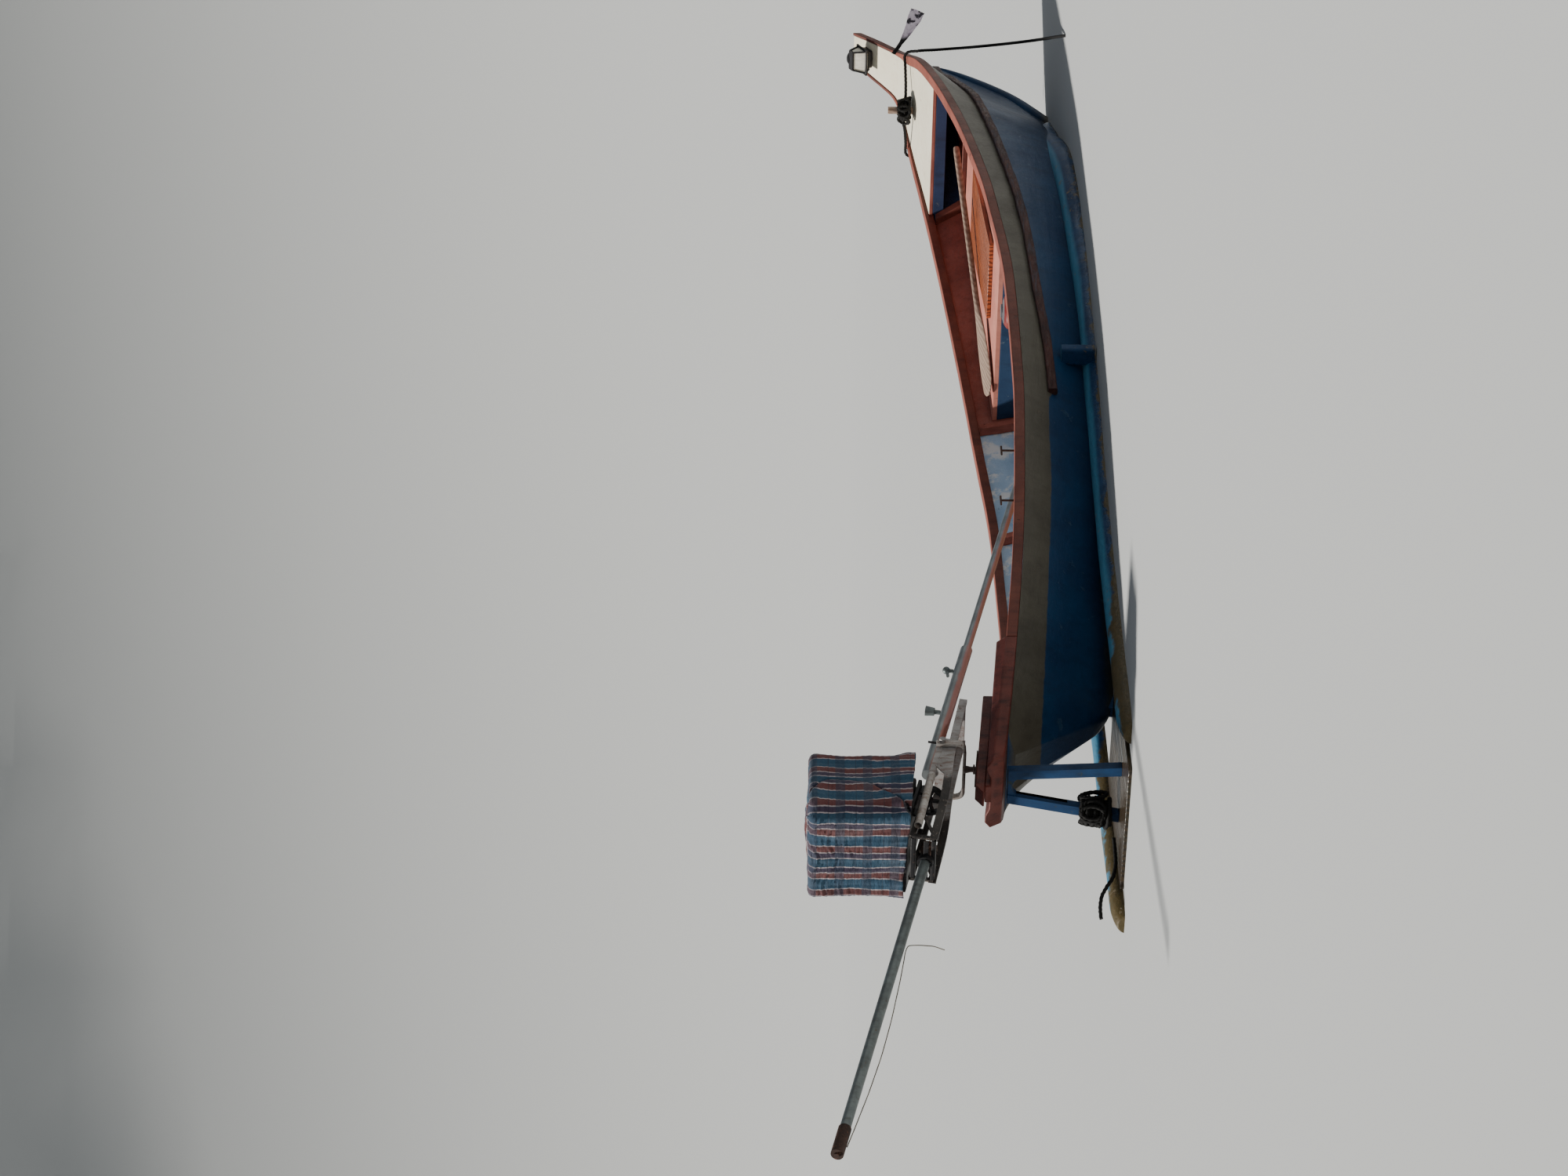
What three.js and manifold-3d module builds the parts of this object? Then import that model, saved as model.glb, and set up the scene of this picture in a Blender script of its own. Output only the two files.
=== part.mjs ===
// Small wooden longtail boat afloat, with its engine raised and the tail tube out of the water.
// Millimetres. +X is forward, +Y is port, +Z is up, and z = 0 is the waterline amidships.
import * as THREE from "three";
import { mergeVertices } from "three/addons/utils/BufferGeometryUtils.js";
import Module from "manifold-3d";

const wasm = await Module();
wasm.setup();

// Hull lines
// Columns: station x, half beam outside the gunwale, height of the gunwale's top
const SHEER = [
  [-3485, 163, 545], [-3189, 266, 508], [-2860, 368, 474], [-2391, 510, 433], [-1900, 635, 408],
  [-1300, 733, 392], [-500, 775, 398], [300, 760, 447], [1100, 669, 517], [1900, 530, 606],
  [2500, 398, 689], [2700, 342, 722], [2900, 265, 756], [3000, 222, 771], [3100, 182, 789], [3200, 148, 822],
  [3300, 130, 882], [3400, 117, 949], [3545, 92, 1045],
];
// Columns: station x, half width of the flat on the keel, transom or stem, its height
const BACKBONE = [
  [-3330, 90, 444], [-3223, 65, 333], [-2935, 14, 35], [-2600, 14, -40], [-2000, 14, -100],
  [-500, 14, -140], [1200, 14, -130], [2300, 14, -92], [2434, 14, -79], [2546, 14, -34],
  [2668, 14, 44], [2857, 14, 176], [3089, 14, 391], [3255, 14, 581], [3400, 16, 780], [3530, 18, 970],
];
// Columns: station x, half beam at the turn of the bilge, its height
const BILGE = [
  [-3330, 94, 448], [-3223, 72, 338], [-2935, 34, 50], [-2600, 190, 34], [-2200, 330, 20],
  [-1800, 430, 10], [-1300, 530, 5], [-500, 640, 5], [300, 660, 10], [1000, 590, 22],
  [1600, 430, 38], [2100, 250, 56], [2434, 120, 74], [2546, 80, 90], [2668, 60, 130],
  [2857, 46, 225], [3089, 34, 420], [3255, 28, 602], [3400, 26, 798], [3530, 26, 984],
];
const PLANKING = 26;
// Columns: station x, how far the side swells out at its mid-height. The bow's sides are hollow.
const SIDE_BELLY = [
  [-3330, 1], [-2935, 1], [-2600, 6], [-2200, 10], [-1800, 12], [1000, 12], [1600, 9], [2000, 1],
  [2400, -30], [2700, -50], [2900, -50], [3089, -34], [3255, -8], [3400, 0],
];
const BOTTOM_FULLNESS = 10;
const FIT_GAP = 0.4;
const HULL_STATIONS = [
  -3330, -3223, -3080, -2935, -2860, -2770, -2600, -2400, -2200, -2000, -1650, -1300, -900, -500, -100,
  300, 650, 1000, 1300, 1600, 1850, 2100, 2300, 2434, 2546, 2668, 2780, 2857, 2930, 3000, 3045, 3089, 3130,
  3180, 3215, 3255, 3300, 3350, 3400, 3450, 3500,
];

// Rails and strakes
const GUNWALE = {
  depth: 46, width: 58, bowWidth: 16, narrowsFrom: 2850, narrowsTo: 3300, aft: -2859.6, fore: 3545, chamfer: 5,
};
// Columns: station x, height of the rub rail's middle
const RUB_RAIL = [
  [-1352, 213], [-1050, 221], [-560, 250], [-60, 268], [384, 299], [670, 324], [1040, 354], [1445, 386],
  [1880, 418], [2123, 438], [2400, 477], [2700, 530], [3000, 572], [3232, 592],
];
const RUB_RAIL_SIZE = { height: 41, depth: 30, bowDepth: 10, thinsFrom: 2000 };
// Columns: station x, distance of the runner's middle from the centre plane, its height
const RUNNER = [
  [-3850, 388, -12], [-3300, 392, -12], [-2700, 400, -12], [-2200, 430, -12], [-1800, 480, -12],
  [-1300, 560, -9], [-700, 650, -5], [-100, 690, 5], [300, 688, 14], [700, 655, 24], [1000, 595, 33],
  [1400, 460, 43], [1700, 335, 50], [2000, 215, 43], [2300, 90, 24], [2500, 30, -6],
];
const RUNNER_SIZE = { halfWidth: 76, halfHeight: 68, taperEnd: 0.55 };
const RUNNER_AFT = { starboard: -3600, port: -3850 };
const RUNNER_TAB = { x: -1045, length: 56, inner: 640, outer: 726, bottom: 10, top: 160 };
const KEEL = { aft: -2890, fore: 2500, halfWidth: 24, depth: 48 };

// Stern
const CAP = {
  aft: -3485, fore: -2860, lip: 10, rimOuter: 28, rimInner: 62, flatFrom: 95, rimDrop: 4, flatDrop: 20, padHalf: 44,
  rake: 0.7,
};
const BED = {
  aft: -3520, fore: -2829, halfWidth: 38, topAft: 618, topFore: 558, bottomAft: 578, bottomFore: 515.5, bevel: 48,
  nose: 6,
};
const BED_PLATE = { aft: -3385, fore: -3227, thickness: 6 };
const STERN_BOARD = { aft: -3720, fore: -2950, halfWidth: 303, top: 15, thickness: 45 };
const LEG = { size: 42, top: [-3415, 60, 478], foot: [-3460, 118, 15.4] };
const LEG_ARCH = { depth: 38, rise: 20, thickness: 34 };

// Floors, deck and ribs
const RIBS = { stern: -2150, aft: -1430, middle: -450, fore: 530 };
const RIB = { width: 38, depth: 42, clearOfRail: 2 };
const SOLE = { aft: -2090, fore: 500, halfWidth: 400, bottom: 66, thickness: 20, planks: 5, gap: 8 };
const BATTEN = { width: 60, thickness: 14, fromAft: 200, fromFore: 240, fromEdge: 90 };
const RISER = { x: 650, thickness: 22 };
const FORE_FLOOR = { fore: 2900, height: 350, slope: 0.06, thickness: 22 };
const FORE_FRAME = { x: 2245, width: 38, footHeight: 24 };
const FOREDECK = { aft: 2290, fore: 3099.7, dropAft: 20, dropFore: 6, thickness: 18, levelAt: 3300 };
const BOW_PLATE = { aft: 3100, fore: 3545, thickness: 18 };
const DECK_BEAM = { x: 2290.6, width: 34, depth: 58 };
const POST = { x: 2770, radius: 20, top: 862 };
const THOLES = [{ name: "thole_pin_aft", x: -2100 }, { name: "thole_pin_fore", x: -1795 }];
const THOLE = { stem: 5, height: 56, barRadius: 4.5, barHalfLength: 34, inboard: 28 };

// Loose gear
const LOOSE_BOARD = { x: 1345, y: 36, length: 860, width: 425, thickness: 21, turn: 0.02 };
const PADDLE = {
  tip: [640, 530, 374], end: [2080, -128, 516], radius: 16, bladeLength: 520, bladeWidth: 128, bladeThickness: 16,
  tipShare: 0.36, bulgeShare: 0.62, shaftBury: 30,
};
const CANISTER = {
  x: 400, y: -92, radius: 92, base: 86.5, shoulder: 290, height: 350, neck: 34, footEdge: 8, domeShare: 0.72,
  domeDrop: 22, neckHeight: 16,
};
const LANTERN = {
  x: 3412, y: -8, rise: 8, length: 112, width: 140, height: 84, footHeight: 24, footInset: 22, tilt: -0.55,
};
const RIBBON = { root: [3202, -176, 806], run: [190, -130, -110], width: 80, thickness: 6 };

// Steering yoke and the tilting engine frame. Local x runs along the tilted frame from the pivot bolts.
const PIVOT = { x: -3296, z: 747 };
const STEERING_X = -3311;
const TILT = THREE.MathUtils.degToRad(11.8);
const YOKE = {
  barTop: 660, barThickness: 13, barWidth: 26, barHalf: 90, armInner: 122, armOuter: 132, armTop: 772, armWidth: 30,
  bendRadius: 34, portShift: 21, armSetBack: 7,
};
const STEERING_PIN = {
  radius: 12, bottom: 564, collarRadius: 21, collarHeight: 7, collarGap: 3, holeRadius: 12.6, coneRadius: 19,
  coneBottom: 626,
};
const PIVOT_BOLT = { radius: 8, holeRadius: 8.6, headRadius: 14, headThickness: 9, headGap: 5.5 };
// Columns: place along the frame, height of the lower channel's bottom edge
const CHANNEL_LOW = [[-640, -95], [-350, -87], [0, -58], [345, -45]];
const CHANNEL = { inner: 99, thickness: 14, height: 38 };
const RAIL = { aft: -640, fore: 50, low: -22, height: 42 };
const TIE = { x: 320, thickness: 16, rise: 4, height: 26 };
const HANDLE_SEAT = { x: -60, length: 90 };
const FLANGE = {
  thickness: 8, low: -88, high: 16, holeRadius: 14, bossRadius: 33, bossBore: 21.6, bossLength: 28,
};
const ENGINE_PLATE = {
  aft: -600, fore: -300, halfWidth: 112, low: 38, thickness: 12, footLength: 40, footWidth: 12, footFromEnd: 20,
};
const ENGINE_BLOCK = { aft: -578, fore: -318, halfWidth: 165, low: 50.6, height: 320 };
const COVER = {
  aft: -3900, fore: -3515, halfWidth: 228, bottomAft: 912, bottomFore: 886, topAft: 1300, topMiddle: 1322, wall: 12,
  corner: 34, edgeDrop: 15.6, innerDrop: 2.4, shoulder: 40,
};
const HANDLE = { z: 46, sleeveRadius: 26.5, sleeveAft: -70, sleeveFore: 874, tubeRadius: 18.5, end: 2290 };
const SIDE_TUBE = { y: -128, aftZ: -5, foreZ: 3, radius: 14, bore: 10.5, aft: -587, fore: -241 };
const GREASE_CUP = { x: 384, stem: 10, stemTop: 102, cupRadius: 22, top: 138, taper: 0.8 };
const CLAMP_LEVER = { x: 700, radius: 9, ball: 17, top: 104, armLength: 42, armRadius: 7 };
const TAIL = { z: -50, radius: 21, bore: 17, fore: -640.4, aft: -2300, end: -2448, collarRadius: 25 };
const TAIL_SHAFT = {
  radius: 10, bearingBore: 10.8, aft: -2456, fore: -548, discRadius: 34, discAft: -575, discFore: -555,
};
const PULLEY = { x: -252, z: 10, radius: 70, rim: 15, hub: 17, spoke: 11, width: 24, shaft: 10, spokes: 5 };

// Ropes. Each route is a list of points chosen by hand.
const ROPE_RADIUS = 9;
const BOW_ROPE_COIL = { inner: 20.5, outer: 64, bottom: 731, top: 815, edge: 12 };
const BOW_ROPE_STARBOARD = [
  [2818, -66, 766], [2838, -104, 766], [2870, -162, 768], [2898, -216, 771], [2914, -250, 774],
  [2916, -276, 762], [2896, -297, 702], [2831, -335, 620], [2743, -386, 530], [2631, -450, 428],
  [2456, -548, 318], [2256, -659, 214], [1993, -806, 98], [1731, -951, 6], [1692, -972, -20],
];
const BOW_ROPE_PORT = [
  [2766, 78, 776], [2776, 112, 768], [2792, 170, 762], [2808, 230, 758], [2822, 262, 758], [2832, 290, 756],
  [2838, 310, 742], [2841, 320, 712], [2842, 325, 670], [2842, 328, 630], [2842, 329, 590],
];
const STERN_ROPE_COIL = { radius: 60, bottom: 32, top: 176 };
const STERN_ROPE_TRAIL = [
  [-3512, 196, 34], [-3545, 222, 30], [-3600, 252, 28], [-3660, 282, 40], [-3705, 306, 70],
  [-3745, 330, 92], [-3790, 352, 98], [-3830, 372, 96],
];
const KNOT_RADIUS = 19;
const TAIL_CORD_RADIUS = 2.5;
const TAIL_CORD = [
  [-2400, 0, -78], [-2380, 0, -79], [-2250, 0, -88], [-2050, 0, -99], [-1850, 0, -104], [-1650, 0, -101],
  [-1450, 0, -92], [-1300, 0, -83], [-1230, 0, -78], [-1195, 0, -86], [-1185, 0, -120], [-1178, 0, -170],
  [-1190, 0, -225],
];

const COLOURS = {
  terracotta: 0x8f4a3a, beige: 0x8d8574, blue: 0x2f66a0, tan: 0x8a6a42, cream: 0xe9e4d2, wood: 0x7a4a28,
  greyWood: 0x8d867c, galvanised: 0x8e9092, whitePaint: 0xc9c6bd, black: 0x151515, rope: 0x1b1a18,
  plaid: 0x7f93a5, red: 0x7b1f1c, cloth: 0xd7d4dc, rust: 0x6b4630,
};

const boat = new THREE.Group();
const steered = new THREE.Group();
const engine = new THREE.Group();
engine.position.set(PIVOT.x, 0, PIVOT.z);
engine.rotation.y = TILT;
boat.add(steered, engine);

function add(parent, name, geometry, colour, roughness = 0.7, metalness = 0) {
  const material = new THREE.MeshStandardMaterial({ color: colour, roughness, metalness });
  const mesh = new THREE.Mesh(geometry, material);
  mesh.name = name;
  parent.add(mesh);
  return mesh;
}

// A smooth value from a table at x: cubic between rows, with slopes that never overshoot a row.
function along(table, column, x) {
  const last = table.length - 1;
  if (x <= table[0][0]) return table[0][column];
  if (x >= table[last][0]) return table[last][column];
  let i = 0;
  while (table[i + 1][0] < x) i += 1;
  const secant = (k) => (table[k + 1][column] - table[k][column]) / (table[k + 1][0] - table[k][0]);
  const slope = (k) => {
    if (k === 0) return secant(0);
    if (k === last) return secant(last - 1);
    const a = secant(k - 1);
    const b = secant(k);
    return a * b <= 0 ? 0 : (2 * a * b) / (a + b);
  };
  const span = table[i + 1][0] - table[i][0];
  const t = (x - table[i][0]) / span;
  const h00 = (1 + 2 * t) * (1 - t) ** 2;
  const h10 = t * (1 - t) ** 2;
  const h01 = t * t * (3 - 2 * t);
  const h11 = t * t * (t - 1);
  const values = h00 * table[i][column] + h01 * table[i + 1][column];
  return values + span * (h10 * slope(i) + h11 * slope(i + 1));
}

// Solids from triangles
function solidOf(geometry) {
  const plain = geometry.clone();
  plain.deleteAttribute("normal");
  plain.deleteAttribute("uv");
  const merged = mergeVertices(plain, 1e-3);
  return new wasm.Manifold(new wasm.Mesh({
    numProp: 3,
    vertProperties: new Float32Array(merged.attributes.position.array),
    triVerts: new Uint32Array(merged.index.array),
  }));
}

function geometryOf(solid) {
  const mesh = solid.getMesh();
  const geometry = new THREE.BufferGeometry();
  geometry.setAttribute("position", new THREE.BufferAttribute(new Float32Array(mesh.vertProperties), 3));
  geometry.setIndex(new THREE.BufferAttribute(new Uint32Array(mesh.triVerts), 1));
  geometry.computeVertexNormals();
  return geometry;
}

const union = (...solids) => geometryOf(solids.reduce((a, b) => a.add(b)));
const cut = (solid, ...tools) => geometryOf(tools.reduce((a, b) => a.subtract(b), solid));

// A closed body from rings of points, given as [x, [[y, z], ...]]. A point may add its own step along x.
// Rings run anticlockwise as seen from ahead, looking aft.
function loft(rings) {
  const positions = [];
  const index = [];
  const count = rings[0][1].length;
  for (const [x, ring] of rings) {
    for (const [y, z, step = 0] of ring) positions.push(x + step, y, z);
  }
  for (let r = 0; r + 1 < rings.length; r += 1) {
    for (let i = 0; i < count; i += 1) {
      const j = (i + 1) % count;
      const a = r * count + i;
      const b = r * count + j;
      index.push(a, b, b + count, a, b + count, a + count);
    }
  }
  const cap = (r, flip) => {
    const contour = rings[r][1].map(([y, z]) => new THREE.Vector2(y, z));
    for (const [a, b, c] of THREE.ShapeUtils.triangulateShape(contour, [])) {
      const base = r * count;
      if (flip) index.push(base + a, base + c, base + b);
      else index.push(base + a, base + b, base + c);
    }
  };
  cap(0, true);
  cap(rings.length - 1, false);
  const geometry = new THREE.BufferGeometry();
  geometry.setAttribute("position", new THREE.Float32BufferAttribute(positions, 3));
  geometry.setIndex(index);
  const flat = geometry.toNonIndexed();
  flat.computeVertexNormals();
  return flat;
}

function block(x0, x1, y0, y1, z0, z1) {
  const geometry = new THREE.BoxGeometry(x1 - x0, y1 - y0, z1 - z0);
  geometry.translate((x0 + x1) / 2, (y0 + y1) / 2, (z0 + z1) / 2);
  return geometry;
}

// A round bar between two points.
function bar(from, to, radius, sides = 20, endRadius = radius) {
  const a = new THREE.Vector3(...from);
  const b = new THREE.Vector3(...to);
  const geometry = new THREE.CylinderGeometry(endRadius, radius, a.distanceTo(b), sides);
  const ahead = b.clone().sub(a).normalize();
  const turn = new THREE.Quaternion().setFromUnitVectors(new THREE.Vector3(0, 1, 0), ahead);
  geometry.applyQuaternion(turn);
  const middle = a.add(b).multiplyScalar(0.5);
  geometry.translate(middle.x, middle.y, middle.z);
  return geometry;
}

// A leaning square post: its section stays level while its middle runs from one point to the other.
function leaningPost(from, to, size) {
  const geometry = new THREE.BoxGeometry(1, 1, 1);
  const corner = geometry.attributes.position;
  for (let i = 0; i < corner.count; i += 1) {
    const t = corner.getZ(i) + 0.5;
    const middle = from.map((value, axis) => THREE.MathUtils.lerp(value, to[axis], t));
    corner.setXYZ(i, middle[0] + corner.getX(i) * size, middle[1] + corner.getY(i) * size, middle[2]);
  }
  return geometry;
}

// A tube-like solid that follows a smooth curve through hand-placed points.
function cordSolid(points, radius, sides, steps) {
  const curve = new THREE.CatmullRomCurve3(points.map((p) => new THREE.Vector3(...p)), false, "centripetal");
  const shape = new THREE.Shape();
  for (let i = 0; i < sides; i += 1) {
    const angle = (i / sides) * Math.PI * 2;
    const x = radius * Math.cos(angle);
    const y = radius * Math.sin(angle);
    if (i === 0) shape.moveTo(x, y);
    else shape.lineTo(x, y);
  }
  shape.closePath();
  return new THREE.ExtrudeGeometry(shape, { steps, bevelEnabled: false, extrudePath: curve });
}

// Hull: the outside less the inside
const SIDE_STEPS = 4;
const BOTTOM_STEPS = 3;

// Half section at x, from the backbone up to the top edge, moved inwards by inset, as [y, z] points.
function halfSection(x, inset, topZ) {
  const keelHalf = Math.max(along(BACKBONE, 1, x) - inset * 0.2, 4);
  const keelZ = along(BACKBONE, 2, x) + inset * 1.35;
  const sheerHalf = along(SHEER, 1, x) - inset - 4;
  const bilgeHalf = Math.min(Math.max(along(BILGE, 1, x) - inset * 1.15, keelHalf + 2), sheerHalf - 2);
  const bilgeZ = Math.max(along(BILGE, 2, x) + inset * 0.75, keelZ + 3);
  const sheerZ = Math.max(topZ, bilgeZ + 4);
  const points = [];
  for (let i = 0; i <= BOTTOM_STEPS; i += 1) {
    const t = i / BOTTOM_STEPS;
    const belly = BOTTOM_FULLNESS * 4 * t * (1 - t) * Math.min(1, bilgeHalf / 400);
    points.push([keelHalf + (bilgeHalf - keelHalf) * t, keelZ + (bilgeZ - keelZ) * t - belly]);
  }
  for (let i = 1; i <= SIDE_STEPS; i += 1) {
    const t = i / SIDE_STEPS;
    const belly = along(SIDE_BELLY, 1, x) * 4 * t * (1 - t);
    points.push([bilgeHalf + (sheerHalf - bilgeHalf) * t + belly, bilgeZ + (sheerZ - bilgeZ) * t]);
  }
  return points;
}

function sectionRing(x, inset, topZ) {
  const port = halfSection(x, inset, topZ);
  const starboard = port.map(([y, z]) => [-y, z]).reverse();
  return [x, [...starboard, ...port]];
}

const shellTop = (x) => along(SHEER, 2, x) - GUNWALE.depth - FIT_GAP;
const hullOutside = (grow) => solidOf(loft(HULL_STATIONS.map((x) => sectionRing(x, -grow, shellTop(x)))));
const INSIDE_RANGE = [-3180, 3122];
const INSIDE_TOP = 1100;

// The inside follows the planking up to its top edge and runs straight up from there
function hullInside(gap) {
  const stations = HULL_STATIONS.filter((x) => x > INSIDE_RANGE[0] && x < INSIDE_RANGE[1]);
  return solidOf(loft([INSIDE_RANGE[0], ...stations, INSIDE_RANGE[1]].map((x) => {
    const port = halfSection(x, PLANKING + gap, shellTop(x));
    port.push([port[port.length - 1][0], INSIDE_TOP]);
    const starboard = port.map(([y, z]) => [-y, z]).reverse();
    return [x, [...starboard, ...port]];
  })));
}

const hullSolid = hullOutside(0).subtract(hullInside(0));
add(boat, "hull_shell", geometryOf(hullSolid), COLOURS.beige);

// Stations for a strip between two ends
function stationsBetween(aft, fore, step) {
  const count = Math.max(2, Math.ceil((fore - aft) / step));
  return Array.from({ length: count + 1 }, (_, i) => aft + ((fore - aft) * i) / count);
}

const keelStations = stationsBetween(KEEL.aft, KEEL.fore, 280);
const keelBlank = loft(keelStations.map((x) => {
  const top = along(BACKBONE, 2, x) + 8;
  const w = KEEL.halfWidth;
  return [x, [[-w, top - KEEL.depth], [w, top - KEEL.depth], [w, top], [-w, top]]];
}));
add(boat, "keel", cut(solidOf(keelBlank), hullOutside(FIT_GAP)), COLOURS.blue);

// Gunwales sit on the planking's top edge and close in beside the bow plate
function gunwaleWidth(x) {
  const t = THREE.MathUtils.smoothstep(x, GUNWALE.narrowsFrom, GUNWALE.narrowsTo);
  return THREE.MathUtils.lerp(GUNWALE.width, GUNWALE.bowWidth, t);
}

for (const [side, name] of [[-1, "gunwale_starboard"], [1, "gunwale_port"]]) {
  const stations = HULL_STATIONS.filter((x) => x > GUNWALE.aft);
  const rings = [GUNWALE.aft, ...stations, GUNWALE.fore].map((x) => {
    const outer = along(SHEER, 1, x);
    const inner = outer - gunwaleWidth(x);
    const top = along(SHEER, 2, x);
    const low = top - GUNWALE.depth;
    const edge = GUNWALE.chamfer;
    const ring = [
      [inner, low], [outer, low], [outer, top - edge], [outer - edge, top], [inner + edge, top], [inner, top - edge],
    ];
    return [x, side > 0 ? ring : ring.map(([y, z]) => [-y, z]).reverse()];
  });
  add(boat, name, loft(rings), COLOURS.terracotta);
}

// Half beam of the planking's outside at a height
function planksideHalf(x, z) {
  const section = halfSection(x, 0, shellTop(x));
  for (let i = 0; i + 1 < section.length; i += 1) {
    const [[y0, z0], [y1, z1]] = [section[i], section[i + 1]];
    if (z >= z0 && z <= z1) return y0 + ((y1 - y0) * (z - z0)) / (z1 - z0);
  }
  return section[section.length - 1][0];
}

for (const [side, name] of [[-1, "rub_rail_starboard"], [1, "rub_rail_port"]]) {
  const rings = stationsBetween(RUB_RAIL[0][0], RUB_RAIL[RUB_RAIL.length - 1][0], 190).map((x) => {
    const z = along(RUB_RAIL, 1, x);
    const low = z - RUB_RAIL_SIZE.height / 2;
    const high = z + RUB_RAIL_SIZE.height / 2;
    const lowIn = planksideHalf(x, low) - 6;
    const highIn = planksideHalf(x, high) - 6;
    const thin = THREE.MathUtils.smoothstep(x, RUB_RAIL_SIZE.thinsFrom, RUB_RAIL[RUB_RAIL.length - 1][0]);
    const out = THREE.MathUtils.lerp(RUB_RAIL_SIZE.depth, RUB_RAIL_SIZE.bowDepth, thin) + 6;
    const ring = [[lowIn, low], [lowIn + out - 6, low], [lowIn + out, low + 12], [highIn + out, high - 12],
      [highIn + out - 6, high], [highIn, high]];
    return [x, side > 0 ? ring : ring.map(([y, zz]) => [-y, zz]).reverse()];
  });
  add(boat, name, cut(solidOf(loft(rings)), hullOutside(FIT_GAP)), COLOURS.terracotta);
}

// Runners: the heavy logs along the bilge, which run on past the transom
const RUNNER_SIDES = 14;
for (const side of ["starboard", "port"]) {
  const sign = side === "port" ? 1 : -1;
  const aft = RUNNER_AFT[side];
  const fore = RUNNER[RUNNER.length - 1][0];
  const stations = [aft, aft + 40, ...stationsBetween(aft + 150, fore - 90, 270), fore - 30, fore];
  const rings = stations.map((x) => {
    const ends = Math.min((x - aft) / 120, (fore - x) / 200, 1);
    const size = THREE.MathUtils.lerp(RUNNER_SIZE.taperEnd, 1, Math.sqrt(Math.max(ends, 0)));
    const y = along(RUNNER, 1, x) * sign;
    const z = along(RUNNER, 2, x);
    const ring = Array.from({ length: RUNNER_SIDES }, (_, i) => {
      const angle = (i / RUNNER_SIDES) * Math.PI * 2;
      return [
        y + RUNNER_SIZE.halfWidth * size * Math.cos(angle),
        z + RUNNER_SIZE.halfHeight * size * Math.sin(angle),
      ];
    });
    return [x, ring];
  });
  const tabMiddle = (sign * (RUNNER_TAB.inner + RUNNER_TAB.outer)) / 2;
  const tabHalf = (RUNNER_TAB.outer - RUNNER_TAB.inner) / 2;
  const tab = solidOf(block(
    RUNNER_TAB.x - RUNNER_TAB.length / 2, RUNNER_TAB.x + RUNNER_TAB.length / 2,
    tabMiddle - tabHalf, tabMiddle + tabHalf, RUNNER_TAB.bottom, RUNNER_TAB.top,
  ));
  const runner = solidOf(loft(rings)).add(tab).subtract(hullOutside(FIT_GAP));
  const bodies = runner.decompose().sort((a, b) => b.volume() - a.volume());
  add(boat, `runner_${side}`, geometryOf(bodies[0]), COLOURS.blue);
}

// Stern: cap, engine bed, board between the runners and the legs that stand on it
const bedBottom = (x) => THREE.MathUtils.mapLinear(x, BED.aft, BED.fore, BED.bottomAft, BED.bottomFore);
const bedTop = (x) => THREE.MathUtils.mapLinear(x, BED.aft, BED.fore, BED.topAft, BED.topFore);
add(boat, "stern_cap", loft(stationsBetween(CAP.aft, CAP.fore, 105).map((x) => {
  const w = along(SHEER, 1, x) + (x < CAP.fore - 1 ? CAP.lip : 0);
  const edge = along(SHEER, 2, x) + 2;
  const low = along(SHEER, 2, x) - GUNWALE.depth;
  const crown = bedBottom(x) - FIT_GAP;
  const rim = crown - CAP.rimDrop;
  const flat = crown - CAP.flatDrop;
  const rake = x < CAP.aft + 1 ? CAP.rake * (edge - low) : 0;
  const half = [
    [w, low, rake], [w, edge], [w - CAP.rimOuter, rim], [w - CAP.rimInner, rim], [w - CAP.flatFrom, flat],
    [CAP.padHalf, flat], [CAP.padHalf, crown],
  ];
  return [x, [...half, ...half.map(([y, z, step = 0]) => [-y, z, step]).reverse()]];
})), COLOURS.terracotta);

const pinHole = solidOf(bar([STEERING_X, 0, 500], [STEERING_X, 0, 700], STEERING_PIN.holeRadius, 24));
const bedSolid = solidOf(loft([BED.aft, BED.aft + BED.bevel, BED.fore].map((x) => {
  const w = BED.halfWidth;
  const top = x > BED.aft ? bedTop(x) : bedBottom(x) + BED.nose;
  return [x, [[-w, bedBottom(x)], [w, bedBottom(x)], [w, top], [-w, top]]];
})));
add(boat, "engine_bed", cut(bedSolid, pinHole), COLOURS.terracotta);
const plateSolid = solidOf(loft([BED_PLATE.aft, BED_PLATE.fore].map((x) => {
  const w = BED.halfWidth;
  const low = bedTop(x) + FIT_GAP;
  return [x, [[-w, low], [w, low], [w, low + BED_PLATE.thickness], [-w, low + BED_PLATE.thickness]]];
})));
add(boat, "bed_plate", cut(plateSolid, pinHole), COLOURS.rust, 0.6, 0.4);

const board = STERN_BOARD;
add(boat, "stern_board", block(
  board.aft, board.fore, -board.halfWidth, board.halfWidth, board.top - board.thickness, board.top,
), COLOURS.tan);

const mirrored = ([x, y, z]) => [x, -y, z];
const [legTopX, legTopY, legTopZ] = LEG.top;
const archHalf = legTopY - LEG.size / 2;
const archRadius = (archHalf ** 2 + LEG_ARCH.rise ** 2) / (2 * LEG_ARCH.rise);
const archCentre = legTopZ - LEG_ARCH.depth + LEG_ARCH.rise - archRadius;
const archBlock = solidOf(block(
  legTopX - LEG_ARCH.thickness / 2, legTopX + LEG_ARCH.thickness / 2, -legTopY, legTopY,
  legTopZ - LEG_ARCH.depth, legTopZ - 1,
));
const archHollow = solidOf(bar(
  [legTopX - LEG.size, 0, archCentre], [legTopX + LEG.size, 0, archCentre], archRadius, 40,
));
add(boat, "stern_legs", union(
  solidOf(leaningPost(LEG.foot, LEG.top, LEG.size)),
  solidOf(leaningPost(mirrored(LEG.foot), mirrored(LEG.top), LEG.size)),
  archBlock.subtract(archHollow),
), COLOURS.blue);

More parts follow.
